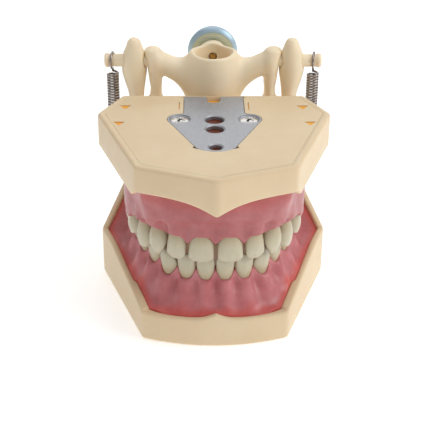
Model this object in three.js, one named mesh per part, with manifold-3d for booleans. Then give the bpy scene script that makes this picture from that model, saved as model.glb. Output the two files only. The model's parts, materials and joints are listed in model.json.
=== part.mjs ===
// Typodont: a pair of practice dental jaws on a plastic articulator.
// Millimetres, +Z up, front teeth towards -Y. The origin is in the plane of the lower base's
// underside, on the centre plane, under the widest line of the two bases.
import * as THREE from 'three';
import { mergeVertices } from 'three/addons/utils/BufferGeometryUtils.js';
import Module from 'manifold-3d';

const wasm = await Module();
wasm.setup();

// ---- driving dimensions -------------------------------------------------------------------
const GAP = 0.3;                 // clearance between pieces that touch
const FAR = 60;                  // a length that reaches past the whole model
const TOP = 63;                  // top of the upper base, jaws closed
const HALF_WIDTH = 40;           // half of the widest line of a base, at y = 0
const REAR = { x: 32.1, y: 15.6 };
const UPPER_FRONT = { x: 25.8, y: -41.1, apexY: -51 };
const LOWER_FRONT = { x: 24.3, y: -44, noseY: -48.7 };
const WALL = 2.2;                // skirt and tray wall
const SEAM = 2.5;                // from the outline to the cover's pocket
const COVER = 2.7;               // cover thickness
const FLOOR_TOP = 7.7;           // base floor, measured in from the outer face
const CAVITY = 5;                // cover and tooth-screw space, measured in from the outer face
const PLATE = 1.6;               // mounting plate thickness
const PLATE_SCREW = { x: 11.7, y: -4.9, head: 3.25, shank: 1.5, length: 6.4, sink: 0.35 };
const BITE = 29.2;               // height of the occlusal plane
const AXIS = { y: 26, z: 72 };   // hinge axis, along X
const POST_X = 28.3;             // centre of the lower frame's posts
const HUB = { y: 26, bore: 6.2, rim: 8.1, barrel: 9.4, top: 75.3, bottom: 51 };
const THUMB = { z: 70.9, front: 36.8, tip: 33.5, radius: 9.5, inner: 7.75, thickness: 4.6, thread: 3 };
const THUMB_PAD = { front: 32.4, back: 33.2, radius: 2.2 };
const THREAD_INSERT = { front: 32.6, back: 35.4, wall: 1 };
const PIN = { radius: 2.3, head: 2.65, inner: 19.4, outer: 38.8 };
const SPRING = { x: 36, radius: 2.25, wire: 0.35, top: 67.4, bottom: 42.5, pegZ: 37.5 };
const FRAME_SCREW = {
  x: 21, head: 2.6, headHeight: 1.6, shank: 1.4, length: 8, under: 4, upperZ: 55, lowerZ: 11,
};

// ---- materials ----------------------------------------------------------------------------
const finish = (color, roughness, metalness = 0) =>
  new THREE.MeshStandardMaterial({ color, roughness, metalness });
const cream = finish(0xe6d3b3, 0.55);
const gumPink = finish(0xc4686c, 0.4);
const enamel = finish(0xd8d0b8, 0.3);
const steel = finish(0xa9abb0, 0.35, 1);
const springWire = finish(0x8c8782, 0.3, 1);
const zinc = finish(0xb4c8d4, 0.3, 1);
const brass = finish(0xb89a5a, 0.35, 1);

// ---- solids -------------------------------------------------------------------------------
function toSolid(geometry) {
  const bare = geometry.clone();
  bare.deleteAttribute('normal');
  bare.deleteAttribute('uv');
  const merged = mergeVertices(bare, 1e-4);
  return new wasm.Manifold(new wasm.Mesh({
    numProp: 3,
    vertProperties: new Float32Array(merged.attributes.position.array),
    triVerts: new Uint32Array(merged.index.array),
  }));
}

function toGeometry(manifold) {
  const mesh = manifold.getMesh();
  const geometry = new THREE.BufferGeometry();
  geometry.setAttribute('position', new THREE.BufferAttribute(new Float32Array(mesh.vertProperties), 3));
  geometry.setIndex(new THREE.BufferAttribute(new Uint32Array(mesh.triVerts), 1));
  geometry.computeVertexNormals();
  return geometry;
}

const union = (...solids) => solids.reduce((sum, solid) => sum.add(solid));
const cut = (solid, ...tools) => tools.reduce((rest, tool) => rest.subtract(tool), solid);

// A closed solid through rings of points that all have the same count.
function loft(rings) {
  const count = rings[0].length;
  const points = rings.flat();
  const index = [];
  for (let ring = 0; ring + 1 < rings.length; ring += 1) {
    for (let i = 0; i < count; i += 1) {
      const a = ring * count + i;
      const b = ring * count + ((i + 1) % count);
      index.push(a, b, a + count, b, b + count, a + count);
    }
  }
  const cap = (ring, flip) => {
    const start = ring * count;
    const centre = new THREE.Vector3();
    rings[ring].forEach((point) => centre.addScaledVector(point, 1 / count));
    const hub = points.push(centre) - 1;
    for (let i = 0; i < count; i += 1) {
      const a = start + i;
      const b = start + ((i + 1) % count);
      index.push(...(flip ? [b, a, hub] : [a, b, hub]));
    }
  };
  cap(0, true);
  cap(rings.length - 1, false);
  let volume = 0;
  for (let i = 0; i < index.length; i += 3) {
    const [a, b, c] = [points[index[i]], points[index[i + 1]], points[index[i + 2]]];
    volume += a.dot(b.clone().cross(c));
  }
  if (volume < 0) index.reverse();
  const geometry = new THREE.BufferGeometry();
  geometry.setAttribute('position', new THREE.Float32BufferAttribute(points.flatMap((p) => p.toArray()), 3));
  geometry.setIndex(index);
  return toSolid(geometry);
}

function prism(outline, low, high, holes = []) {
  const shape = outline instanceof THREE.Shape
    ? outline
    : new THREE.Shape(outline.map(([x, y]) => new THREE.Vector2(x, y)));
  shape.holes = holes;
  const geometry = new THREE.ExtrudeGeometry(shape, {
    depth: high - low, bevelEnabled: false, curveSegments: 5,
  });
  return toSolid(geometry.translate(0, 0, low));
}

// A round bar from one point to another, with its own radius at each end.
function bar(from, to, startRadius, endRadius = startRadius, sides = 14) {
  const a = new THREE.Vector3(...from);
  const b = new THREE.Vector3(...to);
  const geometry = new THREE.CylinderGeometry(endRadius, startRadius, a.distanceTo(b), sides);
  const turn = new THREE.Quaternion().setFromUnitVectors(
    new THREE.Vector3(0, 1, 0), b.clone().sub(a).normalize(),
  );
  geometry.applyQuaternion(turn);
  geometry.translate(...a.add(b).multiplyScalar(0.5).toArray());
  return toSolid(geometry);
}

// A limb of oval sections: each is [x, y, z, half width, half depth], and its plane is square
// to the way the limb runs.
function limb(stations, sides = 12) {
  const centres = stations.map(([x, y, z]) => new THREE.Vector3(x, y, z));
  return loft(stations.map(([, , , halfWidth, halfDepth], i) => {
    const ahead = centres[Math.min(i + 1, centres.length - 1)];
    const behind = centres[Math.max(i - 1, 0)];
    const along = ahead.clone().sub(behind).normalize();
    const back = new THREE.Vector3(0, 1, 0).addScaledVector(along, -along.y).normalize();
    const side = back.clone().cross(along);
    return Array.from({ length: sides }, (_, k) => {
      const angle = (2 * Math.PI * k) / sides;
      return centres[i].clone()
        .addScaledVector(side, halfWidth * Math.cos(angle))
        .addScaledVector(back, halfDepth * Math.sin(angle));
    });
  }));
}

// ---- base outlines ------------------------------------------------------------------------
const mirrored = (side) => [...side, ...side.filter(([x]) => x !== 0).map(([x, y]) => [-x, y]).reverse()];

const upperOutline = mirrored([
  [0, UPPER_FRONT.apexY], [UPPER_FRONT.x, UPPER_FRONT.y], [HALF_WIDTH, 0], [REAR.x, REAR.y],
]);

const noseArc = Array.from({ length: 6 }, (_, i) => {
  const x = (LOWER_FRONT.x * i) / 5;
  const rise = LOWER_FRONT.y - LOWER_FRONT.noseY;
  return [x, LOWER_FRONT.noseY + rise * (x / LOWER_FRONT.x) ** 2];
});
const lowerOutline = mirrored([...noseArc, [HALF_WIDTH, 0], [REAR.x, REAR.y]]);

// The outline moved inwards by a distance; outlines run anticlockwise and are convex.
function inset(outline, distance) {
  const lines = outline.map((point, i) => {
    const next = outline[(i + 1) % outline.length];
    const run = new THREE.Vector2(next[0] - point[0], next[1] - point[1]).normalize();
    return { x: point[0] - run.y * distance, y: point[1] + run.x * distance, run };
  });
  return lines.map((line, i) => {
    const last = lines[(i + lines.length - 1) % lines.length];
    const denominator = last.run.x * line.run.y - last.run.y * line.run.x;
    const reach = ((line.x - last.x) * line.run.y - (line.y - last.y) * line.run.x) / denominator;
    return [last.x + last.run.x * reach, last.y + last.run.y * reach];
  });
}

// How far it is from a point to the outline, along a direction.
function reachOutline(outline, origin, direction) {
  let nearest = FAR;
  outline.forEach((point, i) => {
    const next = outline[(i + 1) % outline.length];
    const edge = [next[0] - point[0], next[1] - point[1]];
    const denominator = direction.x * edge[1] - direction.y * edge[0];
    if (Math.abs(denominator) < 1e-9) return;
    const offset = [point[0] - origin.x, point[1] - origin.y];
    const reach = (offset[0] * edge[1] - offset[1] * edge[0]) / denominator;
    const along = (offset[0] * direction.y - offset[1] * direction.x) / denominator;
    if (reach > 0 && along >= 0 && along <= 1) nearest = Math.min(nearest, reach);
  });
  return nearest;
}

// ---- dental arches ------------------------------------------------------------------------
const FACE_CHANGE = { from: 12, over: 26 };  // along the arch, from the front teeth's depth to the molars'

// The line through the contact points of neighbouring teeth: a rounded arc in front of y = 0,
// then nearly straight. The outer tooth faces stand outside it by frontFace to backFace.
function makeArch({ halfWidth, depth, power, toeIn, frontFace, backFace }) {
  const points = [];
  const steps = 90;
  for (let i = 0; i <= steps; i += 1) {
    const angle = (Math.PI / 2) * (i / steps);
    const x = halfWidth * Math.sin(angle) ** (2 / power);
    points.push(new THREE.Vector2(x, -depth * Math.cos(angle) ** (2 / power)));
  }
  for (let y = 1; y <= 16; y += 1) points.push(new THREE.Vector2(halfWidth - toeIn * y * y, y));
  const lengths = [0];
  for (let i = 1; i < points.length; i += 1) {
    lengths.push(lengths[i - 1] + points[i].distanceTo(points[i - 1]));
  }
  // Position and outward direction at a signed distance along the arch from the midline.
  const spotAt = (distance) => {
    const side = distance < 0 ? -1 : 1;
    const wanted = Math.abs(distance);
    let i = lengths.findIndex((length) => length > wanted);
    if (i < 1) i = lengths.length - 1;
    const share = (wanted - lengths[i - 1]) / (lengths[i] - lengths[i - 1]);
    const at = points[i - 1].clone().lerp(points[i], share);
    const ahead = points[Math.min(i + 2, points.length - 1)];
    const run = ahead.clone().sub(points[Math.max(i - 3, 0)]).normalize();
    if (wanted < 1.5) run.set(1, 0);
    const out = { x: side * run.y, y: -run.x };
    const along = { x: run.x, y: side * run.y };
    const backwards = Math.min(1, Math.max(0, (wanted - FACE_CHANGE.from) / FACE_CHANGE.over));
    const face = frontFace + (backFace - frontFace) * backwards;
    return { x: side * at.x + out.x * face, y: at.y + out.y * face, out, along };
  };
  return { spotAt, length: lengths[lengths.length - 1] };
}

const upperArch = makeArch({
  halfWidth: 26.5, depth: 41, power: 2.5, toeIn: 0.004, frontFace: 1.9, backFace: 4,
});
const lowerArch = makeArch({
  halfWidth: 25, depth: 38.9, power: 2.35, toeIn: 0.003, frontFace: 1.7, backFace: 3.8,
});

// Crowns from the midline backwards: width along the arch, crown height, greatest depth,
// thickness of the biting edge, how far the edge passes the occlusal plane, and how much the
// crown narrows towards the tongue.
const upperTeeth = [
  { name: 'central_incisor', width: 8.9, height: 9.9, depth: 6.8, edge: 1.5, overlap: 0.7, taper: 0.3 },
  { name: 'lateral_incisor', width: 7.1, height: 9.1, depth: 6, edge: 1.5, overlap: 0.4, taper: 0.3 },
  { name: 'canine', width: 8.0, height: 10, depth: 7.4, edge: 2.2, overlap: 0.8, taper: 0.36 },
  { name: 'first_premolar', width: 7, height: 8.3, depth: 8.8, edge: 6.4, overlap: -0.15, taper: 0.3 },
  { name: 'second_premolar', width: 6.8, height: 7.8, depth: 8.8, edge: 6.6, overlap: -0.15, taper: 0.24 },
  { name: 'first_molar', width: 10.2, height: 7.3, depth: 10.8, edge: 8.8, overlap: -0.15, taper: 0.14 },
  { name: 'second_molar', width: 9.4, height: 7, depth: 10.6, edge: 8.6, overlap: -0.15, taper: 0.1 },
  { name: 'third_molar', width: 8.4, height: 6.6, depth: 10, edge: 8, overlap: -0.15, taper: 0.12 },
];
const lowerTeeth = [
  { name: 'central_incisor', width: 6.1, height: 8.8, depth: 5.6, edge: 1.4, overlap: 0.6, taper: 0.3 },
  { name: 'lateral_incisor', width: 6.2, height: 8.9, depth: 5.8, edge: 1.4, overlap: 0.6, taper: 0.3 },
  { name: 'canine', width: 7.3, height: 9.4, depth: 7, edge: 2, overlap: 0.6, taper: 0.36 },
  { name: 'first_premolar', width: 7.2, height: 8.2, depth: 7.6, edge: 5.4, overlap: -0.15, taper: 0.3 },
  { name: 'second_premolar', width: 7.1, height: 7.9, depth: 8, edge: 6, overlap: -0.15, taper: 0.24 },
  { name: 'first_molar', width: 10.8, height: 7.6, depth: 10, edge: 8.2, overlap: -0.15, taper: 0.14 },
  { name: 'second_molar', width: 9.8, height: 7.2, depth: 9.8, edge: 8, overlap: -0.15, taper: 0.1 },
  { name: 'third_molar', width: 9.0, height: 6.8, depth: 9.4, edge: 7.6, overlap: -0.15, taper: 0.12 },
];
const CONTACT_GAP = 0.32;        // between neighbouring crowns
const ROOT = 7;                  // root plug below the gum line

// One tooth as stacked rounded sections. up is +1 for a lower tooth and -1 for an upper one.
function tooth(kind, arch, middle, up, grow = 0) {
  const spot = arch.spotAt(middle);
  const narrow = kind.width - CONTACT_GAP + 2 * grow;
  const edgeZ = BITE + up * kind.overlap;
  const front = kind.edge < 4;
  const section = (share, widthShare, depth, setBack) => {
    const ends = (share > 1.5) - (share === 0);
    return {
      z: edgeZ - up * (share * kind.height + ends * grow),
      half: (narrow * widthShare) / 2,
      depth: depth + 2 * grow,
      setBack: setBack - grow,
    };
  };
  const neck = kind.depth * 0.86;
  const sections = [
    section(0, front ? 0.84 : 0.8, kind.edge, front ? 0.6 : 0.9),
    section(0.25, 1, front ? kind.edge * 1.7 : kind.depth * 0.96, 0.25),
    section(0.65, 0.94, kind.depth * (front ? 0.8 : 1), 0),
    section(1, front ? 0.7 : 0.8, neck, 0.4),
    section(1 + 2 / kind.height, 0.62, neck * 0.85, 0.9),
    section(1 + ROOT / kind.height, 0.42, neck * 0.5, 2.2),
  ];
  const sides = 10;
  return loft(sections.map(({ z, half, depth, setBack }) => Array.from({ length: sides }, (_, k) => {
    const angle = (2 * Math.PI * (k + 0.5)) / sides;
    const round = (value) => Math.sign(value) * Math.abs(value) ** 0.75;
    const inward = (1 - round(Math.sin(angle))) / 2;
    const along = 1.04 * half * round(Math.cos(angle)) * (1 - kind.taper * inward);
    const out = -setBack - depth * inward;
    return new THREE.Vector3(
      spot.x + spot.along.x * along + spot.out.x * out,
      spot.y + spot.along.y * along + spot.out.y * out,
      z,
    );
  })));
}

// Each kind of tooth once on either side, with its place along the arch.
function placeTeeth(kinds) {
  let start = 0;
  return kinds.flatMap((kind) => {
    const middle = start + kind.width / 2;
    start += kind.width;
    return [{ kind, middle, side: 'right' }, { kind, middle: -middle, side: 'left' }];
  });
}

// ---- gums ---------------------------------------------------------------------------------
const GUM_END = 3.8;             // from the end of the arch line to the end of the gum ridge

// A ridge along the whole arch. profile gives the section as [outwards, z] points at a place.
function ridge(arch, profile) {
  const stations = 34;
  return loft(Array.from({ length: stations + 1 }, (_, i) => {
    const spot = arch.spotAt((arch.length - GUM_END) * ((2 * i) / stations - 1));
    const { x, y, out } = spot;
    return profile(spot).map(([reach, z]) => new THREE.Vector3(x + out.x * reach, y + out.y * reach, z));
  }));
}

const toothDepthAt = (spot) => (spot.y < -30 ? 7 : 11);

function upperGum() {
  const rim = inset(upperOutline, WALL + GAP);
  const underBase = TOP - FLOOR_TOP - GAP;
  const solid = ridge(upperArch, (spot) => {
    const reach = reachOutline(rim, spot, spot.out);
    const inner = toothDepthAt(spot);
    return [
      [reach, underBase], [reach, underBase - 2.6], [reach * 0.45, 45], [0.9, 40], [0, 38],
      [-inner, 38], [-inner - 3.5, 43], [-inner - 7, 47.5], [-inner - 7, underBase],
    ];
  });
  const palate = prism(mirrored([[0, -31], [12, -27], [19, -14], [22, REAR.y - 4]]), 47.5, underBase);
  return union(solid, palate);
}

const heelRise = (y) => Math.max(0, y) * 0.78;
const trayRim = (y) => 11 + 7 * Math.min(1, Math.max(0, (y + 44) / 34)) + heelRise(y);

function lowerGum() {
  const rim = inset(lowerOutline, WALL + GAP);
  const tray = FLOOR_TOP + GAP;
  return ridge(lowerArch, (spot) => {
    const reach = reachOutline(rim, spot, spot.out);
    const inner = toothDepthAt(spot);
    const edge = trayRim(spot.y + spot.out.y * reach) - 0.6;
    return [
      [reach, tray], [reach, edge], [reach * 0.6, Math.max(15, edge - 0.6)], [1, 19.4], [0, 21.4],
      [-inner, 21.4], [-inner - 1.6, 17], [-inner - 2.4, tray],
    ];
  });
}

// ---- bases, covers and plates -------------------------------------------------------------
// Built with the outer face at z = 0 and the inside towards +Z; turned over for the upper jaw.
const plateScrewPlaces = [[PLATE_SCREW.x, PLATE_SCREW.y], [-PLATE_SCREW.x, PLATE_SCREW.y]];
const plateHoles = [{ y: -5.4, radius: 3.15 }, { y: -13, radius: 3 }, { y: -26.8, radius: 2.15 }];

// The plate's outline, grown by a margin for its recess.
function plateShape(margin = 0) {
  const ear = { x: 11.7, y: -5.1, radius: 4.3 + margin };
  const nose = { y: -23.9, radius: 6.3 + margin };
  const shape = new THREE.Shape();
  const shoulder = 10.4 + margin;
  shape.moveTo(shoulder, 14 + margin);
  if (margin === 0) {
    shape.lineTo(2.35, 14);
    shape.lineTo(2.35, 11.2);
    shape.absarc(0, 11.2, 2.35, 0, Math.PI, true);
    shape.lineTo(-2.35, 14);
  }
  shape.lineTo(-shoulder, 14 + margin);
  shape.lineTo(-shoulder, ear.y + ear.radius);
  shape.absarc(-ear.x, ear.y, ear.radius, Math.PI / 2, Math.PI * 1.19, false);
  shape.absarc(0, nose.y, nose.radius, Math.PI * 1.19, Math.PI * 1.81, false);
  shape.absarc(ear.x, ear.y, ear.radius, -Math.PI * 0.19, Math.PI / 2, false);
  shape.lineTo(shoulder, ear.y + ear.radius);
  return shape;
}

function roundHole(x, y, radius, low, high, sides = 16) {
  return bar([x, y, low], [x, y, high], radius, radius, sides);
}

function mountingPlate() {
  const screwHoles = plateScrewPlaces.map(([x, y]) => roundHole(x, y, PLATE_SCREW.shank + GAP, -1, 3, 12));
  const sinks = plateScrewPlaces.map(([x, y]) => roundHole(x, y, PLATE_SCREW.head + GAP, -1, 1, 20));
  const holes = plateHoles.map(({ y, radius }) => roundHole(0, y, radius, -1, 3));
  return cut(prism(plateShape(), 0, PLATE), ...screwHoles, ...sinks, ...holes);
}

// A Phillips screw that stands on its head at z = sink and runs towards +Z.
function crossScrew(head, shank, headHeight, length) {
  const body = union(
    bar([0, 0, 0], [0, 0, headHeight], head * 0.86, head),
    bar([0, 0, headHeight - 0.1], [0, 0, length], shank, shank * 0.9, 10),
  );
  const slot = (width, depth) => toSolid(new THREE.BoxGeometry(width, depth, 1));
  return cut(body, slot(head, 0.7), slot(0.7, head));
}

const pryWindow = (x, y, size) => prism(
  mirrored([[0, -size], [size, size * 0.7]]).map(([u, v]) => [x + u, y + v]), -1, COVER + 1,
);

function baseCover(outline) {
  const windows = [[31.3, 5.2, 2.5], [-31.3, 5.2, 2.5], [32.3, -8.6, 2.1], [-32.3, -8.6, 2.1]];
  return cut(
    prism(inset(outline, SEAM + GAP), 0, COVER),
    prism(plateShape(GAP), -1, PLATE + GAP),
    ...plateScrewPlaces.map(([x, y]) => roundHole(x, y, PLATE_SCREW.shank + GAP, -1, COVER + 1, 12)),
    ...plateHoles.map(({ y, radius }) => roundHole(0, y, radius, -1, COVER + 1)),
    ...windows.map(([x, y, size]) => pryWindow(x, y, size)),
  );
}

// The floor of a base with the tooth-screw space and the two bosses for the plate screws.
function baseFloor(outline, height) {
  const space = cut(
    prism(inset(outline, SEAM), -1, CAVITY),
    ...plateScrewPlaces.map(([x, y]) => roundHole(x, y, 3.6, COVER + GAP, CAVITY + 1, 12)),
  );
  const boreRadius = PLATE_SCREW.shank + GAP;
  const screwBores = plateScrewPlaces.map(([x, y]) => roundHole(x, y, boreRadius, -1, FLOOR_TOP - 0.8, 12));
  const plateRecess = prism(plateShape(GAP), -1, PLATE + GAP);
  return cut(prism(outline, 0, height), space, plateRecess, ...screwBores);
}

// Frame screws enter the rear wall from behind.
function frameScrewBores(z) {
  return [-1, 1].map((side) => bar(
    [side * FRAME_SCREW.x, REAR.y - 7, z], [side * FRAME_SCREW.x, REAR.y + 1, z],
    FRAME_SCREW.shank + GAP, FRAME_SCREW.shank + GAP, 12,
  ));
}

function lowerBase() {
  const height = 31;
  const rimLine = [[-FAR, 11], [-44, 11], [-42, 13], [-10, 18], [0, 18], [REAR.y + 1, trayRim(REAR.y + 1)]];
  // Everything above the rim line, as seen from the side, is cut away.
  const above = prism([...rimLine, [REAR.y + 1, FAR], [-FAR, FAR]], -FAR, FAR)
    .rotate([90, 0, 90]);
  const tongueSpace = toSolid(new THREE.BoxGeometry(30, 12, 40).translate(0, REAR.y, FLOOR_TOP + 4 + 20));
  return cut(
    baseFloor(lowerOutline, height),
    above,
    prism(inset(lowerOutline, WALL), FLOOR_TOP, FAR),
    tongueSpace,
    ...frameScrewBores(FRAME_SCREW.lowerZ),
  );
}

// The skirt's lower edge along the front: a pointed bow at the middle.
const bowEdge = (x) => 49.9 + 3.9 * (1 - Math.exp(-((Math.abs(x) / 6.5) ** 1.3)));

function upperBase() {
  const depthOf = (z) => TOP - z;
  const sideEdge = depthOf(50.8);
  const cornerEdge = depthOf(bowEdge(UPPER_FRONT.x));
  const bow = Array.from({ length: 25 }, (_, i) => {
    const x = -27 + (54 * i) / 24;
    return [x, depthOf(bowEdge(x))];
  });
  const belowBow = prism([...bow, [27, FAR], [-27, FAR]], -FAR, FAR).rotate([90, 0, 0]);
  const frontBox = toSolid(new THREE.BoxGeometry(120, 20, 80).translate(0, UPPER_FRONT.y + 1 - 10, 0));
  const belowSides = prism([
    [UPPER_FRONT.y + 1, cornerEdge], [UPPER_FRONT.y + 5, sideEdge], [FAR, sideEdge], [FAR, FAR],
    [UPPER_FRONT.y + 1, FAR],
  ], -FAR, FAR).rotate([90, 0, 90]);
  const skirted = cut(
    baseFloor(upperOutline, depthOf(49.9)),
    prism(inset(upperOutline, WALL), FLOOR_TOP, FAR),
    belowSides,
    belowBow.intersect(frontBox),
    ...frameScrewBores(TOP - FRAME_SCREW.upperZ),
  );
  return skirted;
}

// ---- the articulator ----------------------------------------------------------------------
const bothSides = (make) => union(make(1), make(-1));
const box = (x0, x1, y0, y1, z0, z1) => toSolid(
  new THREE.BoxGeometry(x1 - x0, y1 - y0, z1 - z0).translate((x0 + x1) / 2, (y0 + y1) / 2, (z0 + z1) / 2),
);

// The through holes of a frame's two screws and the sinks of their heads, at a height.
function frameScrewSeats(z) {
  const face = REAR.y + GAP;
  const behind = AXIS.y + 9;
  return [1, -1].flatMap((side) => {
    const x = side * FRAME_SCREW.x;
    const shankRadius = FRAME_SCREW.shank + GAP;
    return [
      bar([x, face - 1, z], [x, behind, z], shankRadius, shankRadius, 12),
      bar([x, face + FRAME_SCREW.under, z], [x, behind, z], FRAME_SCREW.head + GAP),
    ];
  });
}

function upperFrame() {
  const back = REAR.y + GAP;
  const hub = toSolid(new THREE.LatheGeometry([
    [0, HUB.bottom], [HUB.barrel - 0.8, HUB.bottom], [HUB.barrel, HUB.bottom + 2], [HUB.barrel, 69],
    [HUB.barrel - 0.4, 73], [HUB.rim, HUB.top], [0, HUB.top],
  ].map(([r, z]) => new THREE.Vector2(r, z)), 28).rotateX(Math.PI / 2).translate(0, HUB.y, 0));
  const arm = (side) => limb([
    [side * 5, HUB.y, 66, 8, 4.5], [side * 9, HUB.y, 67, 5.6, 4.2], [side * 13.5, HUB.y, 69.6, 3.4, 3.4],
    [side * 17.5, AXIS.y, 71, 4, 3.8], [side * 21, AXIS.y, 72, 4.4, 4],
  ]);
  const knuckle = (side) => limb([
    [side * 20.8, AXIS.y - 1, 52, 3.6, 4], [side * 20.8, AXIS.y, 58, 2.9, 3.6],
    [side * 20, AXIS.y, 63, 1.9, 3.2], [side * 20.6, AXIS.y, 68, 2.5, 3.8],
    [side * 20.9, AXIS.y, 73, 2.5, 4], [side * 21.3, AXIS.y, 76.8, 1.1, 2],
  ]);
  const footMiddle = 20.8;
  const footHalf = 3.8;
  const foot = (side) => box(
    side * footMiddle - footHalf, side * footMiddle + footHalf, back, AXIS.y + 2.5, 51, 57.5,
  );
  const bridge = box(-18, 18, back + 4, AXIS.y, 51, 56);
  return cut(
    union(hub, bothSides(arm), bothSides(knuckle), bothSides(foot), bridge),
    bar([0, HUB.y, HUB.bottom - 1], [0, HUB.y, HUB.top + 1], HUB.bore, HUB.bore, 28),
    bar([0, HUB.y, THUMB.z], [0, HUB.y + 12, THUMB.z], THUMB.thread + THREAD_INSERT.wall + GAP),
    ...[1, -1].map((side) => bar(
      [side * (PIN.inner - GAP), AXIS.y, AXIS.z], [side * 27, AXIS.y, AXIS.z], PIN.radius + GAP,
    )),
    ...frameScrewSeats(FRAME_SCREW.upperZ),
  );
}

function lowerFrame() {
  const back = REAR.y + GAP;
  const z = FRAME_SCREW.lowerZ;
  const post = (side) => limb([
    [side * 25, back + 3.4, 8, 4.6, 3.4], [side * 26.4, back + 3.6, 20, 3.8, 3.4],
    [side * 28, AXIS.y - 2, 34, 3.2, 3], [side * POST_X, AXIS.y, 46, 2.7, 2.8],
    [side * 27.8, AXIS.y, 61, 2.5, 2.8], [side * 28, AXIS.y, 66, 3.9, 3.6],
    [side * 28.2, AXIS.y, 70.5, 4.5, 4.2], [side * 28.2, AXIS.y, 74, 4, 3.8],
    [side * 27.8, AXIS.y, 77.5, 2.5, 2.6], [side * 27.6, AXIS.y, 80.2, 0.9, 1],
  ]);
  const peg = (side) => union(
    bar([side * 27, AXIS.y - 1, SPRING.pegZ], [side * 38, AXIS.y, SPRING.pegZ], 2.2, 1.8),
    bar([side * 37.6, AXIS.y, SPRING.pegZ], [side * 38.8, AXIS.y, SPRING.pegZ], 2.3),
  );
  const crossbar = box(-26, 26, back, back + FRAME_SCREW.under, z - 5, z + 5);
  return cut(
    union(bothSides(post), bothSides(peg), crossbar),
    ...[1, -1].map((side) => bar([side * 20, AXIS.y, AXIS.z], [side * 40, AXIS.y, AXIS.z], PIN.radius + GAP)),
    ...frameScrewSeats(z),
  );
}

function hingePin(side) {
  const at = (x) => [side * x, AXIS.y, AXIS.z];
  return union(
    bar(at(PIN.inner), at(PIN.outer - 0.4), PIN.radius, PIN.radius, 24),
    bar(at(PIN.outer - 1.4), at(PIN.outer), PIN.head, PIN.head - 0.4, 24),
  );
}

// An extension spring as the sleeve of its coils, with a hook ring round the peg at either end.
function spring(side) {
  const x = side * SPRING.x;
  const ring = (z, radius) => toSolid(
    new THREE.TorusGeometry(radius, SPRING.wire, 5, 14).rotateY(Math.PI / 2).translate(x, AXIS.y, z),
  );
  const upperRing = PIN.radius + GAP + SPRING.wire;
  const lowerRing = 1.9 + GAP + SPRING.wire;
  return union(
    bar([x, AXIS.y, SPRING.bottom], [x, AXIS.y, SPRING.top], SPRING.radius, SPRING.radius, 12),
    ring(AXIS.z, upperRing),
    ring(SPRING.pegZ, lowerRing),
    bar([x, AXIS.y, SPRING.top - 0.5], [x, AXIS.y, AXIS.z - upperRing], SPRING.wire, SPRING.wire, 5),
    bar([x, AXIS.y, SPRING.pegZ + lowerRing], [x, AXIS.y, SPRING.bottom + 0.5], SPRING.wire, SPRING.wire, 5),
  );
}

const lathedAlongY = (profile, sides) => toSolid(
  new THREE.LatheGeometry(profile.map(([r, y]) => new THREE.Vector2(r, y)), sides),
).translate([0, 0, THUMB.z]);

// The disc is turned by hand; its shank runs through the hub's rear wall to the pad.
function thumbScrew() {
  const { front, tip, radius, inner, thickness, thread } = THUMB;
  const shank = thread - GAP;
  const rear = front + thickness + 0.8;
  return lathedAlongY([
    [0, tip], [shank - 0.2, tip], [shank, tip + 0.4], [shank, front], [inner, front],
    [radius, front + 1.2], [radius, rear - 0.8], [radius - 1, rear], [0, rear],
  ], 32);
}

function thumbPad() {
  const { front, back, radius } = THUMB_PAD;
  return lathedAlongY([[0, front], [radius, front], [radius, back], [0, back]], 20);
}

function threadInsert() {
  const { front, back, wall } = THREAD_INSERT;
  const inner = THUMB.thread;
  const outer = inner + wall;
  return lathedAlongY([[inner, front], [outer, front], [outer, back], [inner, back], [inner, front]], 24);
}

// ---- assembly -----------------------------------------------------------------------------
const typodont = new THREE.Group();

function place(name, solid, material) {
  const mesh = new THREE.Mesh(toGeometry(solid), material);
  mesh.name = name;
  typodont.add(mesh);
  return mesh;
}

// Turn a piece made from the outer face inwards into its place in the upper jaw.
function placeUpper(name, solid, material) {
  const flipped = solid.mirror([0, 0, 1]);
  return place(name, flipped.translate([0, 0, TOP]), material);
}

function seatedScrew([x, y]) {
  const { head, shank, sink, length } = PLATE_SCREW;
  return crossScrew(head, shank, 1 - sink, length).translate([x, y, sink]);
}

placeUpper('upper_base', upperBase(), cream);
placeUpper('upper_base_cover', baseCover(upperOutline), cream);
placeUpper('upper_mounting_plate', mountingPlate(), steel);
placeUpper('upper_plate_screw_right', seatedScrew(plateScrewPlaces[0]), steel);
placeUpper('upper_plate_screw_left', seatedScrew(plateScrewPlaces[1]), steel);
place('lower_base', lowerBase(), cream);
place('lower_base_cover', baseCover(lowerOutline), cream);
place('lower_mounting_plate', mountingPlate(), steel);
place('lower_plate_screw_right', seatedScrew(plateScrewPlaces[0]), steel);
place('lower_plate_screw_left', seatedScrew(plateScrewPlaces[1]), steel);

const jaws = [
  { jaw: 'upper', kinds: upperTeeth, arch: upperArch, up: -1, gum: upperGum() },
  { jaw: 'lower', kinds: lowerTeeth, arch: lowerArch, up: 1, gum: lowerGum() },
];
jaws.forEach(({ jaw, kinds, arch, up, gum }) => {
  const teeth = placeTeeth(kinds);
  teeth.forEach(({ kind, middle, side }) => {
    place(`${jaw}_${kind.name}_${side}`, tooth(kind, arch, middle, up), enamel);
  });
  const sockets = teeth.map(({ kind, middle }) => tooth(kind, arch, middle, up, GAP));
  place(`${jaw}_gum`, cut(gum, ...sockets), gumPink);
});

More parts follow.
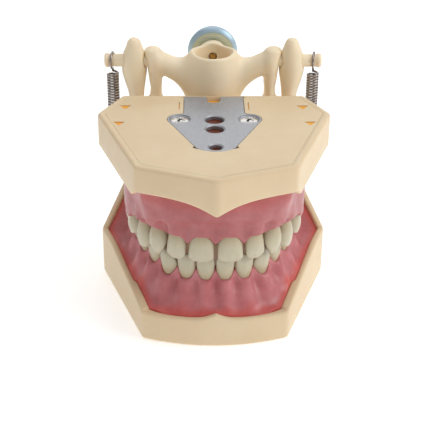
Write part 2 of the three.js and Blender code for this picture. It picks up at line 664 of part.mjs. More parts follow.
place('upper_frame', upperFrame(), cream);
place('lower_frame', lowerFrame(), cream);
[['right', 1], ['left', -1]].forEach(([name, side]) => {
  place(`hinge_pin_${name}`, hingePin(side), cream);
  place(`spring_${name}`, spring(side), springWire);
  ['upper', 'lower'].forEach((jaw) => {
    const { x, head, headHeight, shank, length, under } = FRAME_SCREW;
    const screw = crossScrew(head, shank, headHeight, length).rotate([90, 0, 0]);
    const y = REAR.y + GAP + under + GAP + headHeight;
    const z = jaw === 'upper' ? FRAME_SCREW.upperZ : FRAME_SCREW.lowerZ;
    place(`${jaw}_frame_screw_${name}`, screw.translate([side * x, y, z]), steel);
  });
});
place('thumb_screw', thumbScrew(), zinc);
place('thumb_screw_pad', thumbPad(), brass);
place('thread_insert', threadInsert(), brass);

export default typodont;
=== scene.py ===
"""Typodont: practice dental jaws on a plastic articulator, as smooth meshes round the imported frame.

Lengths are in millimetres until a mesh is made, x to the jaw's named right, -y to the front teeth, z up.
"""

import json
import math

import bmesh
import bpy
import numpy as np
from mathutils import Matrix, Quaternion, Vector
from mathutils.geometry import delaunay_2d_cdt


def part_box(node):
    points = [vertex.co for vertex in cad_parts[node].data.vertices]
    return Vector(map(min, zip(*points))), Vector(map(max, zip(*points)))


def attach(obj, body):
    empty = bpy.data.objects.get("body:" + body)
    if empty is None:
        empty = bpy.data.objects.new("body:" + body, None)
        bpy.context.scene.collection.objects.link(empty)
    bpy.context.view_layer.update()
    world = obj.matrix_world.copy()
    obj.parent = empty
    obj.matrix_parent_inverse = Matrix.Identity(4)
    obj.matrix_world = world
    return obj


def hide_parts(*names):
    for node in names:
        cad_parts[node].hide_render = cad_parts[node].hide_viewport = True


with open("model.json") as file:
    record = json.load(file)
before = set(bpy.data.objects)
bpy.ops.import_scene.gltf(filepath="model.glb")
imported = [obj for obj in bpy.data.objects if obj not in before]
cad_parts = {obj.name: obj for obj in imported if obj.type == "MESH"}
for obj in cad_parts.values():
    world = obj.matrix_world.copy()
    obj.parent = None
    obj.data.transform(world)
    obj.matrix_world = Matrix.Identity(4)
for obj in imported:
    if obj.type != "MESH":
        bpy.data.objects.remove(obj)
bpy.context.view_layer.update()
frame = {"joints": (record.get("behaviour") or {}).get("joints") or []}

# ---- places taken from the frame ----------------------------------------------------------------
MM = 0.001


def box(node):
    low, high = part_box(node)
    return np.array(low) / MM, np.array(high) / MM


def middle(node):
    low, high = box(node)
    return (low + high) / 2


JOINTS = {joint["name"]: joint for joint in frame["joints"]}
AXIS_Y, AXIS_Z = (v / MM for v in JOINTS["jaw_hinge"]["pos_m"][1:])
TOP = box("upper_base")[1][2]
HALF_WIDTH, REAR_Y = box("upper_base")[1][:2]
APEX_Y = box("upper_base")[0][1]
NOSE_Y = box("lower_base")[0][1]
DISC_FRONT = JOINTS["clamp_turn"]["pos_m"][1] / MM
DISC_Z = JOINTS["clamp_turn"]["pos_m"][2] / MM
HUB_TOP = TOP + 12.3
SPRING_X = middle("spring_right")[0]
PEG_Z = box("spring_right")[0][2] + 2.9
PIN_END = box("hinge_pin_right")[1][0]

# ---- shapes of the real mouldings ---------------------------------------------------------------
REAR_X = 32.1
UPPER_CORNER = (25.8, -41.1)
LOWER_CORNER = (24.3, -44.0)
WALL = 2.2                 # skirt and tray wall
SEAM = 2.5                 # from the outline to the cover
COVER = 2.7                # cover thickness
FLOOR = 7.7                # base floor, measured from the outer face
PLATE = 1.6                # mounting plate thickness
FRONT_LIP = 0.9            # extra thickness of the tray's front wall
SIDE_EDGE = 50.8           # lower edge of the upper skirt along the sides
KINDS = [
    "central_incisor", "lateral_incisor", "canine", "first_premolar", "second_premolar",
    "first_molar", "second_molar", "third_molar",
]
SIDES = {"right": 1, "left": -1}


def bow_edge(x):
    """Lower edge of the upper skirt across the front: a bow that comes to a point."""
    return 49.9 + 3.9 * (1 - np.exp(-((np.abs(x) / 6.5) ** 1.3)))


def tray_rim(x, y):
    """Top edge of the lower tray wall."""
    side = 11 + 7 * np.clip((y + 44) / 34, 0, 1) + np.maximum(0, y) * 0.78
    front = 10.6 + 1.9 * np.exp(-((np.abs(x) / 3.2) ** 1.4))
    return side + (front - 11) * np.clip((-43 - y) / 2, 0, 1)


def lip_share(jaw, y):
    """Where the lower tray's wall is thicker: round the front, from a small step on each side."""
    return smoothstep(-y, 28.6, 30.6) - 1.3 * smoothstep(-y, 42, 45) if jaw == "lower" else np.zeros(np.shape(y))


# ---- numeric helpers ----------------------------------------------------------------------------
def smooth_min(a, b, radius):
    share = np.clip(0.5 + 0.5 * (b - a) / radius, 0, 1)
    return b + (a - b) * share - radius * share * (1 - share)


def smooth_max(a, b, radius):
    return -smooth_min(-a, -b, radius)


def smoothstep(value, low, high):
    share = np.clip((value - low) / (high - low), 0, 1)
    return share * share * (3 - 2 * share)


def squarish(value, power):
    """A sine or cosine flattened, so that the oval it draws has fuller corners."""
    return np.sign(value) * np.abs(value) ** power


def curve_through(knots, values):
    """A function that runs smoothly through the values at the knots, and is level past the ends."""
    knots, values = np.array(knots, float), np.array(values, float)
    slopes = np.gradient(values, knots)
    fine = np.linspace(knots[0], knots[-1], 160)
    i = np.clip(np.searchsorted(knots, fine, "right") - 1, 0, len(knots) - 2)
    gap = knots[i + 1] - knots[i]
    t = (fine - knots[i]) / gap
    shape = (
        (2 * t**3 - 3 * t**2 + 1) * values[i] + (t**3 - 2 * t**2 + t) * gap * slopes[i]
        + (3 * t**2 - 2 * t**3) * values[i + 1] + (t**3 - t**2) * gap * slopes[i + 1]
    )
    return lambda x: np.interp(x, fine, shape)


def surface_net(low, high, pitch, field):
    """The zero surface of a field in a box as quads, then drawn onto the exact surface."""
    axes = [np.arange(a, b + pitch, pitch) for a, b in zip(low, high)]
    values = field(*np.meshgrid(*axes, indexing="ij")).astype(np.float32)
    below = values < 0
    corners = [(i, j, k) for i in (0, 1) for j in (0, 1) for k in (0, 1)]
    cells = tuple(n - 1 for n in values.shape)
    shifted = [below[i:i + cells[0], j:j + cells[1], k:k + cells[2]] for i, j, k in corners]
    count = sum(s.astype(np.int8) for s in shifted)
    at = np.array(np.nonzero((count > 0) & (count < 8)))
    number = np.full(cells, -1, np.int64)
    number[tuple(at)] = np.arange(at.shape[1])
    total, hits = np.zeros((3, at.shape[1])), np.zeros(at.shape[1])
    for one in corners:
        for axis in range(3):
            if one[axis]:
                continue
            other = tuple(c + (a == axis) for a, c in enumerate(one))
            v0 = values[tuple(at[a] + one[a] for a in range(3))]
            v1 = values[tuple(at[a] + other[a] for a in range(3))]
            crossed = (v0 < 0) != (v1 < 0)
            share = np.where(crossed, v0 / np.where(crossed, v0 - v1, 1), 0)
            for a in range(3):
                total[a] += np.where(crossed, one[a] + (share if a == axis else 0), 0)
            hits += crossed
    points = (at + total / hits) * pitch + np.array([[a] for a in low])
    faces = []
    for axis in range(3):
        u, v = (axis + 1) % 3, (axis + 2) % 3
        first = [slice(1, -1)] * 3
        first[axis] = slice(0, -1)
        second = list(first)
        second[axis] = slice(1, None)
        start, end = below[tuple(first)], below[tuple(second)]
        for inside_first in (True, False):
            edge = np.array(np.nonzero((start & ~end) if inside_first else (~start & end)))
            edge[u] += 1
            edge[v] += 1
            ring = []
            for du, dv in ((-1, -1), (0, -1), (0, 0), (-1, 0)):
                cell = edge.copy()
                cell[u] += du
                cell[v] += dv
                ring.append(number[tuple(cell)])
            quad = np.array(ring if inside_first else ring[::-1]).T
            faces.append(quad[(quad >= 0).all(1)])
    step = 0.3 * pitch
    for _ in range(2):
        here = field(*points)
        slope = np.array([
            field(*(points + step * np.eye(3)[:, [a]])) - field(*(points - step * np.eye(3)[:, [a]]))
            for a in range(3)
        ]) / (2 * step)
        size = np.maximum((slope**2).sum(0), 0.05)
        points = points - np.clip(here / size, -0.4 * pitch, 0.4 * pitch) * slope
    return points.T, np.concatenate(faces).tolist()


# ---- mesh helpers -------------------------------------------------------------------------------
def place_object(name, data):
    obj = bpy.data.objects.new(name, data)
    bpy.context.scene.collection.objects.link(obj)
    return obj


def piece(name, parts, body, nodes=(), sharp=None, fix_normals=True):
    """A piece of (vertices, faces, material) parts that rides on a body and stands for CAD nodes."""
    vertices, faces, indices, materials, start = [], [], [], [], 0
    for points, polygons, material in parts:
        if material not in materials:
            materials.append(material)
        vertices.append(np.asarray(points, float) * MM)
        faces.extend(tuple(start + i for i in polygon) for polygon in polygons)
        indices.extend([materials.index(material)] * len(polygons))
        start += len(points)
    mesh = bpy.data.meshes.new(name)
    mesh.from_pydata(np.concatenate(vertices).tolist(), [], faces)
    for material in materials:
        mesh.materials.append(material)
    mesh.polygons.foreach_set("material_index", indices)
    if fix_normals:
        work = bmesh.new()
        work.from_mesh(mesh)
        bmesh.ops.recalc_face_normals(work, faces=work.faces)
        work.to_mesh(mesh)
        work.free()
    mesh.shade_smooth()
    if sharp:
        mesh.set_sharp_from_angle(angle=math.radians(sharp))
    obj = place_object(name, mesh)
    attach(obj, body)
    if nodes:
        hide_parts(*nodes)
    return obj


def point_values(obj, name, values):
    """Keeps a value for each point, for the material to read."""
    made = obj.data.attributes.new(name, "FLOAT", "POINT")
    made.data.foreach_set("value", values.astype(np.float32))


def bands(first, count, stride, layers):
    """Quads round a loop of points whose next ring is a stride further on, for several layers."""
    faces = []
    for start in range(first, first + layers * stride, stride):
        for i in range(count):
            a, b = start + i, start + (i + 1) % count
            faces.append((a, b, b + stride, a + stride))
    return faces


def loft(rings, closed=True):
    """Quads through rings of the same length, with a fan over each end if it is closed."""
    count = len(rings[0])
    points = np.concatenate(rings)
    faces = bands(0, count, count, len(rings) - 1)
    for ring in (0, len(rings) - 1) if closed else ():
        hub = len(points)
        points = np.vstack([points, np.mean(rings[ring], axis=0)])
        faces.extend((ring * count + i, ring * count + (i + 1) % count, hub) for i in range(count))
    return points, faces


def round_axis(radius, along, centre, axis, angles):
    """Points at a radius round an axis, 'x', 'y' or 'z', at a distance along it."""
    local = (radius * np.cos(angles), radius * np.sin(angles), along + np.zeros(len(angles)))
    order = {"x": (2, 0, 1), "y": (1, 2, 0), "z": (0, 1, 2)}[axis]
    return np.column_stack([local[k] for k in order]) + np.array(centre)


def lathe(profile, centre, axis, sides=64, ends=True):
    """A profile of (radius, distance along the axis) turned round the axis."""
    angles = np.arange(sides) * 2 * math.pi / sides
    rings = [round_axis(radius, along, centre, axis, angles) for radius, along in profile]
    return loft(rings, ends and profile[0] != profile[-1])


def sweep(path, radius, sides=10):
    """A round wire along a path of points."""
    path = np.array(path, float)
    along = np.gradient(path, axis=0)
    along /= np.linalg.norm(along, axis=1)[:, None]
    side = np.cross(along[0], [0.3, 0.5, 0.8])
    rings = []
    angles = np.arange(sides) * 2 * math.pi / sides
    for point, run in zip(path, along):
        side = side - run * (side @ run)
        side /= np.linalg.norm(side)
        other = np.cross(run, side)
        rings.append(point + radius * (np.outer(np.cos(angles), side) + np.outer(np.sin(angles), other)))
    return loft(rings)


def rounded_outline(corners, radii, inset=0.0, spacing=0.8, arc_steps=8):
    """A convex polygon, anticlockwise, moved inwards, with rounded corners. Each inset gives matching points."""
    corners = np.array(corners, float)
    run = np.roll(corners, -1, axis=0) - corners
    length = np.linalg.norm(run, axis=1)
    run /= length[:, None]
    inward = np.stack([-run[:, 1], run[:, 0]], axis=1)
    share = np.linspace(0, 1, arc_steps + 1)[:, None]
    arcs = []
    for i, corner in enumerate(corners):
        bisector = inward[i - 1] + inward[i]
        corner = corner + inset * bisector / (1 + inward[i - 1] @ inward[i])
        turn = math.acos(run[i - 1] @ run[i])
        radius = max(radii[i] - inset, 0.35)
        tangent = radius * math.tan(turn / 2)
        centre = corner + bisector / np.linalg.norm(bisector) * radius / math.cos(turn / 2)
        start, end = corner - run[i - 1] * tangent - centre, corner + run[i] * tangent - centre
        arcs.append(centre + (np.sin((1 - share) * turn) * start + np.sin(share * turn) * end) / math.sin(turn))
    points = []
    for i, rounding in enumerate(arcs):
        end, following = rounding[-1], arcs[(i + 1) % len(arcs)][0]
        steps = max(2, round(length[i] / spacing))
        points += [*rounding, *(end + (following - end) * k / steps for k in range(1, steps))]
    return np.array(points)


def mirrored(side):
    """A half outline given from the middle round, completed on the other side."""
    return side + [(-x, y) for x, y in reversed(side) if x]


# ---- materials ----------------------------------------------------------------------------------
def add(material, kind, inputs=None, **settings):
    """A node with its settings, and inputs given as values or as (node, output) links."""
    tree = material.node_tree
    made = tree.nodes.new(kind)
    for key, value in settings.items():
        setattr(made, key, value)
    for key, value in (inputs or {}).items():
        if isinstance(value, tuple) and isinstance(value[0], bpy.types.Node):
            tree.links.new(value[0].outputs[value[1]], made.inputs[key])
        else:
            made.inputs[key].default_value = value
    return made


def principled(name, **constants):
    material = bpy.data.materials.new(name)
    material.use_nodes = True
    shader = material.node_tree.nodes["Principled BSDF"]
    for key, value in constants.items():
        shader.inputs[key.replace("_", " ")].default_value = value
    return material, shader


def linear(red, green, blue):
    """An sRGB colour from 0 to 255 as a linear one."""
    return tuple(((v / 255 + 0.055) / 1.055) ** 2.4 for v in (red, green, blue)) + (1,)


def noise(material, scale, detail=2.0, stretch=(1, 1, 1), roughness=0.5):
    place = add(material, "ShaderNodeTexCoord")
    mapped = add(material, "ShaderNodeMapping", {"Vector": (place, "Object"), "Scale": stretch})
    return add(material, "ShaderNodeTexNoise", {
        "Vector": (mapped, "Vector"), "Scale": scale, "Detail": detail, "Roughness": roughness,
    })


def ramp(material, source, stops):
    made = add(material, "ShaderNodeValToRGB", {"Fac": (source, "Fac")})
    elements = made.color_ramp.elements
    while len(elements) < len(stops):
        elements.new(0.5)
    for element, (position, colour) in zip(elements, stops):
        element.position = position
        element.color = colour
    return made


def link(material, node, output, shader, socket):
    material.node_tree.links.new(node.outputs[output], shader.inputs[socket])


def bump(material, shader, source, distance):
    made = add(material, "ShaderNodeBump", {"Height": (source, "Fac"), "Distance": distance * MM})
    link(material, made, "Normal", shader, "Normal")


def vary_roughness(material, shader, source, low, high):
    """Roughness that varies over the surface with a texture."""
    spread = add(material, "ShaderNodeMapRange", {
        "Value": (source, "Fac"), "From Min": 0.3, "From Max": 0.7, "To Min": low, "To Max": high,
    })
    link(material, spread, "Result", shader, "Roughness")


def mix(material, factor, first, second, blend="MIX"):
    return add(material, "ShaderNodeMix", {
        "Factor": factor, "A": (first, "Color"), "B": (second, "Color"),
    }, data_type="RGBA", blend_type=blend)


def plastic(name, dark, light, scatter):
    """Moulded ivory plastic: faint flow clouding, a fine satin grain and warm light inside."""
    material, shader = principled(
        name, Subsurface_Weight=scatter, Subsurface_Scale=2.2 * MM, Subsurface_Radius=(1, 0.55, 0.22),
    )
    tone = ramp(material, noise(material, 70, 3), [(0.3, dark), (0.7, light)])
    link(material, tone, "Color", shader, "Base Color")
    vary_roughness(material, shader, noise(material, 400, 2), 0.4, 0.52)
    bump(material, shader, noise(material, 2600, 2), 0.012)
    return material


def gum_material(name, painted_light_scale):
    """Soft pink silicone, mottled, with a moist sheen. Redder in the trough by the rim and under the skirt as
    painted shade, and scaled darker or lighter for each jaw as painted light.
    """
    def painted_light_colour(*colour):
        return linear(*(painted_light_scale * v for v in colour))

    material, shader = principled(
        name, Subsurface_Weight=0.25, Subsurface_Scale=2.5 * MM, Subsurface_Radius=(1, 0.3, 0.25),
        Coat_Weight=0.12, Coat_Roughness=0.3,
    )
    # The attribute read here is painted shade: it mixes towards the deep red where shade falls in the trough by
    # the rim and under the skirt.
    hollow = add(material, "ShaderNodeAttribute", attribute_name="hollow")
    mottle = noise(material, 160, 4, roughness=0.6)
    pale = ramp(material, mottle, [
        (0.28, painted_light_colour(180, 99, 102)), (0.5, painted_light_colour(190, 111, 114)), (0.72, painted_light_colour(200, 126, 129)),
    ])
    deep = ramp(material, mottle, [(0.3, painted_light_colour(192, 78, 74)), (0.7, painted_light_colour(206, 96, 88))])
    link(material, mix(material, (hollow, "Fac"), pale, deep), "Result", shader, "Base Color")
    vary_roughness(material, shader, noise(material, 500, 2), 0.32, 0.46)
    bump(material, shader, noise(material, 1300, 3), 0.03)
    return material


def enamel_material():
    """Practice-tooth resin: warmer at the neck, paler to the edge, with faint upright growth lines."""
    material, shader = principled(
        "tooth_resin", Subsurface_Weight=0.12, Subsurface_Scale=1.2 * MM, Subsurface_Radius=(1, 0.8, 0.55),
        Coat_Weight=0.25, Coat_Roughness=0.15,
    )
    height = add(material, "ShaderNodeAttribute", attribute_name="crown")
    tone = ramp(material, height, [
        (0.0, linear(188, 172, 138)), (0.35, linear(200, 190, 162)), (1.0, linear(206, 199, 175)),
    ])
    lines = noise(material, 900, 2, stretch=(1, 1, 0.12))
    shaded = ramp(material, lines, [(0.3, linear(250, 250, 247)), (0.7, linear(255, 255, 255))])
    link(material, mix(material, 1.0, tone, shaded, "MULTIPLY"), "Result", shader, "Base Color")
    vary_roughness(material, shader, noise(material, 700, 2), 0.26, 0.38)
    bump(material, shader, lines, 0.008)
    return material


def metal(name, dark, light, rough, stretch, scale, grain, metallic=1.0):
    """Metal with drawn or turned marks and roughness that varies with them."""
    material, shader = principled(name, Metallic=metallic)
    marks = noise(material, scale, 4, stretch)
    tone = ramp(material, marks, [(0.3, dark), (0.7, light)])
    link(material, tone, "Color", shader, "Base Color")
    vary_roughness(material, shader, marks, *rough)
    bump(material, shader, marks, grain)
    return material


CREAM = plastic("ivory_plastic", linear(226, 202, 165), linear(231, 209, 173), 0.15)
FRAME_CREAM = plastic("frame_plastic", linear(245, 226, 193), linear(250, 233, 202), 0.15)
# Pocket plastic is painted bounce light: a deep orange that stands for light bouncing round inside recesses of the
# cream plastic.
PAINTED_BOUNCE_LIGHT = plastic("pocket_painted_bounce_light", linear(246, 164, 34), linear(252, 188, 62), 0.0)
# Bore plastic is painted shade: dark brown for the shade deep inside the threaded holes.
BORE_SHADE = plastic("bore_painted_shade", linear(88, 34, 10), linear(126, 52, 16), 0.0)
# Recess steel is painted shade: a dark metal for the shade in the screws' cross recesses.
SHADE = metal("recess_painted_shade", linear(60, 56, 52), linear(84, 80, 76), (0.5, 0.6), (1, 1, 1), 800, 0.004)
# Painted light: the same gum colour scaled darker for the upper jaw and lighter for the lower one, for how the
# lamps fall on each.
GUM = {"upper": gum_material("upper_gum_silicone", 0.93), "lower": gum_material("lower_gum_silicone", 1.06)}
ENAMEL = enamel_material()
STEEL = metal("plate_steel", linear(173, 175, 180), linear(189, 191, 196), (0.5, 0.62), (1, 0.5, 1), 1500, 0.006)
SCREW = metal("screw_steel", linear(206, 204, 202), linear(228, 226, 224), (0.2, 0.32), (1, 1, 1), 800, 0.004)
WIRE = metal("spring_wire", linear(138, 126, 118), linear(184, 174, 168), (0.22, 0.34), (1, 1, 0.3), 900, 0.004)
ZINC_RIM = metal("zinc_rim", linear(168, 192, 208), linear(186, 208, 222), (0.4, 0.5), (1, 1, 1), 300, 0.004, 0.7)
ZINC_FACE = metal(
    "zinc_face", linear(200, 206, 184), linear(214, 218, 198), (0.45, 0.55), (0.2, 1, 3), 500, 0.008, 0.5,
)
BRASS = metal("turned_brass", linear(178, 148, 92), linear(200, 170, 112), (0.25, 0.35), (1, 1, 1), 700, 0.005)

# ---- bases --------------------------------------------------------------------------------------
JAWS = {
    "upper": {
        "body": "upper_jaw", "up": -1, "outer": TOP,
        "corners": mirrored([(0, APEX_Y), UPPER_CORNER, (HALF_WIDTH, 0), (REAR_X, REAR_Y)]),
        "radii": [4.5, 2.4, 2.2, 2.2, 2.2, 2.2, 2.4],
    },
    "lower": {
        "body": "lower_jaw", "up": 1, "outer": 0.0,
        "corners": mirrored(
            [(LOWER_CORNER[0] * k / 5, NOSE_Y + (LOWER_CORNER[1] - NOSE_Y) * (k / 5) ** 2) for k in range(6)]
            + [(HALF_WIDTH, 0), (REAR_X, REAR_Y)]
        ),
        "radii": [24] * 5 + [2.4, 2.2, 2.2, 2.2, 2.2, 2.4] + [24] * 4,
    },
}


def skirt_edge(jaw, x, y):
    """Height of the free edge of a base's wall."""
    if jaw == "upper":
        side = SIDE_EDGE + (bow_edge(UPPER_CORNER[0]) - SIDE_EDGE) * smoothstep(-y, 36.1, 40.6)
        return np.where(y < UPPER_CORNER[1] + 0.6, bow_edge(x), side)
    rear_gap = smoothstep(-np.abs(x), -16.2, -14.6) * (y > REAR_Y - 0.5)
    rim = tray_rim(x, y)
    return rim + (FLOOR + 4 - rim) * rear_gap


def quarter(steps):
    """Both parts of a quarter round, from 0 to 1 and from 1 to 0, at equal turns."""
    return [(1 - math.cos(a), 1 - math.sin(a)) for a in np.linspace(0, math.pi / 2, steps + 1)]


def base_shell(jaw):
    """Outer shell of a jaw's base: rounded skirt, floor, and the pocket that takes the cover."""
    facts = JAWS[jaw]
    up, outer = facts["up"], facts["outer"]

    def ring(inset, z):
        flat = rounded_outline(facts["corners"], facts["radii"], inset)
        return np.column_stack([flat, np.broadcast_to(z, len(flat))])

    outside = ring(0, 0)
    edge = skirt_edge(jaw, outside[:, 0], outside[:, 1])
    plate_bay = (np.abs(outside[:, 0]) < 10.8) & (outside[:, 1] > REAR_Y - 0.1)
    pocket = ((SEAM + 4, COVER), (SEAM, COVER), (SEAM, 0.06), (SEAM - 0.06, 0))
    rings = [ring(inset, outer + up * depth) for inset, depth in pocket]
    for pocket_ring in rings[1:]:
        pocket_ring[plate_bay, 1] += 1.25
    top_round, out_round, in_round = 1.15, 0.85, 0.85
    rings += [ring(top_round * b, outer + up * top_round * a) for a, b in quarter(6)]
    start, end = outer + up * top_round, edge - up * out_round
    rings += [ring(0, start + (end - start) * share) for share in (0.35, 0.7)]
    rings += [ring(out_round * a, edge - up * out_round * b) for a, b in quarter(5)]
    inner = [(WALL - in_round * b, edge - up * in_round * a) for a, b in quarter(5)]
    inner += [(WALL, outer + up * (FLOOR + 0.6)), (WALL + 0.6, outer + up * FLOOR), (WALL + 8, outer + up * FLOOR)]
    for inset, z in inner:
        thin, thick = ring(inset, z), ring(inset + FRONT_LIP, z)
        share = lip_share(jaw, thin[:, 1])[:, None]
        rings.append(thin + (thick - thin) * share)
    points, faces = loft(rings)
    piece(f"{jaw}_base_shell", [(points, faces, CREAM)], facts["body"], [f"{jaw}_base"], sharp=50)


# The mounting plate's outline, from its rear edge round by the screw ears to the nose.
PLATE_REAR, PLATE_SHOULDER = 14.0, 10.4
EAR = (11.7, -5.1, 4.3)
NOSE = (6.3, -27.5, -30.2)
PLATE_HOLES = [(-5.4, 3.15), (-13, 3.0), (-26.8, 2.15)]
SCREW_PLACES = [(11.7, -4.9), (-11.7, -4.9)]


def arc(centre, radius, start, end, steps):
    angles = np.radians(np.linspace(start, end, steps + 1))
    return [(centre[0] + radius * math.cos(a), centre[1] + radius * math.sin(a)) for a in angles]


def plate_outline(grow=0.0, notch=True, pointed=False):
    """Half outlines joined; pointed leaves the nose corners square, as the recess has them."""
    shoulder = PLATE_SHOULDER + grow
    ear_x, ear_y, ear_radius = EAR
    corner_x, corner_y, nose_y = NOSE
    half = [(shoulder, PLATE_REAR + grow), (shoulder, ear_y + ear_radius + grow + 1.2)]
    half += arc((shoulder + 1.2, ear_y + ear_radius + grow + 1.2), 1.2, 180, 270, 4)[1:]
    half += arc((ear_x, ear_y), ear_radius + grow, 85, -33, 12)
    sag = corner_y - nose_y
    nose_radius = (corner_x**2 + sag**2) / (2 * sag)
    spread = math.degrees(math.asin(corner_x / nose_radius))
    if pointed:
        nose_corner = ((0.78, 1.4), (1.4, 0.1), (-0.4, -0.9))
        half += [(corner_x + dx, corner_y + dy) for dx, dy in nose_corner]
        half += arc((0, nose_y + nose_radius), nose_radius + grow, -90 + spread * 0.8, -90, 8)
    else:
        half += arc((0, nose_y + nose_radius), nose_radius + grow, -90 + spread, -90, 12)
    outline = half + [(-x, y) for x, y in reversed(half[:-1])]
    if notch:
        slot = 2.35
        outline += [(-slot, PLATE_REAR)] + arc((0, 11.2), slot, 180, 360, 12) + [(slot, PLATE_REAR)]
    return outline


def slab(loops, low, high, round_edge):
    """A flat plate between two heights. Its first loop is the outline, and the others are holes."""
    bevel = [(1, 0), (0.3, 0.3), (0, 1)]
    sections = [(a, low + round_edge * b) for a, b in bevel]
    sections += [(a, high - round_edge * b) for a, b in bevel[::-1]]
    rings, spans, start = [], [], 0
    for number, loop in enumerate(loops):
        loop = np.array(loop, float)
        loop = loop[np.linalg.norm(loop - np.roll(loop, 1, axis=0), axis=1) > 1e-3]
        coming, going = loop - np.roll(loop, 1, axis=0), np.roll(loop, -1, axis=0) - loop
        turn = coming[:, 0] * going[:, 1] - coming[:, 1] * going[:, 0]
        loop = loop[np.abs(turn) > 2e-3 * np.linalg.norm(coming, axis=1) * np.linalg.norm(going, axis=1)]
        ahead = np.roll(loop, -1, axis=0)
        turns_left = (loop[:, 0] * ahead[:, 1] - loop[:, 1] * ahead[:, 0]).sum() > 0
        if turns_left != (number == 0):
            loop = loop[::-1]
            ahead = np.roll(loop, -1, axis=0)
        leaving = (ahead - loop) / np.linalg.norm(ahead - loop, axis=1)[:, None]
        inwards = leaving[:, ::-1] * (-1, 1)
        before = np.roll(inwards, 1, axis=0)
        corner = (before + inwards) / np.maximum(1 + (before * inwards).sum(1), 0.4)[:, None]
        rings.append([loop + corner * round_edge * a for a, _ in sections])
        spans.append((start, len(loop)))
        start += len(loop)
    points = np.vstack([
        np.column_stack([np.vstack([ring[k] for ring in rings]), np.full(start, height)])
        for k, (_, height) in enumerate(sections)
    ])
    faces = []
    for first, count in spans:
        faces += bands(first, count, start, len(sections) - 1)
    flat = points[:start, :2]
    edges = [(first + i, first + (i + 1) % count) for first, count in spans for i in range(count)]
    found = delaunay_2d_cdt([Vector(p) for p in flat], edges, [], 0, 1e-7)
    source = [origins[0] for origins in found[3]]
    triangles = np.array([[source[i] for i in face] for face in found[2]])
    centres = flat[triangles].mean(1)
    inside = np.zeros(len(triangles), bool)
    for i, j in edges:
        (ax, ay), (bx, by) = flat[i], flat[j]
        if ay != by:
            crosses = (ay > centres[:, 1]) != (by > centres[:, 1])
            inside ^= crosses & (centres[:, 0] < ax + (bx - ax) * (centres[:, 1] - ay) / (by - ay))
    triangles = triangles[inside]
    last = (len(sections) - 1) * start
    return points, faces + triangles[:, ::-1].tolist() + (triangles + last).tolist()


def behind(jaw, depth):
    """The height at a depth behind a jaw's outer face."""
    return JAWS[jaw]["outer"] + JAWS[jaw]["up"] * depth


def between(jaw, start, end):
    """Two depths behind the outer face as a low and a high height."""
    return sorted((behind(jaw, start), behind(jaw, end)))


def turned_in(jaw, profile, x, y, sides):
    """A lathe upright in a jaw, from a profile of (radius, depth behind the outer face)."""
    return lathe([(r, behind(jaw, depth)) for r, depth in profile], (x, y, 0), "z", sides)


def strip(x, half_width, low, high):
    return [(x - half_width, low), (x + half_width, low), (x + half_width, high), (x - half_width, high)]


def triangle(x, y, size):
    return [(x - size, y + size * 0.75), (x, y - size * 0.85), (x + size, y + size * 0.75)]


# Pry windows through the cover, by place and half width, and the two slits, by place.
SLITS = (12.0, -12.0)
WINDOWS = [(30.7, 4.8, 2.1), (32.2, -8.6, 2.0), (-30.6, 4.9, 2.1), (-32.1, -8.7, 2.0)]


def cover(jaw):
    """Cover of a base: the flat plate of the outer face, open round the mounting plate."""
    facts = JAWS[jaw]
    rim = rounded_outline(facts["corners"], facts["radii"], SEAM + 0.02, spacing=4, arc_steps=5)
    rear = REAR_Y - SEAM - 0.05
    recess = [p for p in plate_outline(0.14, notch=False, pointed=True) if p[1] < rear]
    recess = [(PLATE_SHOULDER + 0.14, rear)] + recess + [(-PLATE_SHOULDER - 0.14, rear)]
    start = max(range(len(rim)), key=lambda i: (rim[i][1] > rear - 0.01, rim[i][0]))
    order = [tuple(rim[(start + k) % len(rim)]) for k in range(len(rim))]
    outside = [p for p in order if not (p[1] > rear - 0.05 and abs(p[0]) < PLATE_SHOULDER + 0.6)]
    split = next(i for i, p in enumerate(outside) if p[0] < 0)
    loop = outside[:split] + recess + outside[split:]
    openings = [triangle(*window) for window in WINDOWS] + [strip(x, 0.16, 2.9, 9.2) for x in SLITS]
    top_face = slab([loop, *openings], *between(jaw, 0.0, 2.0), 0.07)
    # The seat under the mounting plate is painted bounce light: orange for light bounced round in the gap about
    # the plate.
    seat_loop = [(x, min(y, REAR_Y - 1.35)) for x, y in plate_outline(1.4, notch=False)]
    bores = [arc((0, y), radius + 0.2, 0, 345, 23) for y, radius in PLATE_HOLES]
    seat = slab([seat_loop, *bores], *between(jaw, PLATE + 0.1, COVER - 0.1), 0.05)

    def ledge(outline, *depths):
        return loft([np.column_stack([outline, np.full(len(outline), behind(jaw, d))]) for d in depths])

    # The ledges under the pry windows and slits are painted bounce light: orange sheets that stand for light
    # bounced round inside the openings.
    ledges = [ledge(arc((x, y), size + 0.6, 0, 330, 11), 2.6, 0.4) for x, y, size in WINDOWS]
    ledges += [ledge(strip(x, 0.5, 2.5, 9.6), 2.4, 0.5) for x in SLITS]
    parts = [(*top_face, CREAM), (*seat, PAINTED_BOUNCE_LIGHT)] + [(*ledge, PAINTED_BOUNCE_LIGHT) for ledge in ledges]
    piece(f"{jaw}_base_cover_plate", parts, facts["body"], [f"{jaw}_base_cover"], sharp=20)
    # The threaded bores are drawn in painted shade, dark brown for the shade inside the holes.
    for number, (y, radius) in enumerate(PLATE_HOLES, 1):
        turns, depth = 7, 6.0
        wall = [(radius + 0.15, PLATE + 0.02)]
        for k in range(turns):
            at = PLATE + 0.3 + (depth - PLATE) * k / turns
            wall += [(radius - 0.3, at), (radius - 0.75, at + 0.3)]
        wall += [(radius - 0.5, depth), (0.01, depth)]
        piece(f"{jaw}_threaded_bore_{number}", [(*turned_in(jaw, wall, 0, y, 40), BORE_SHADE)], facts["body"],
              sharp=25)


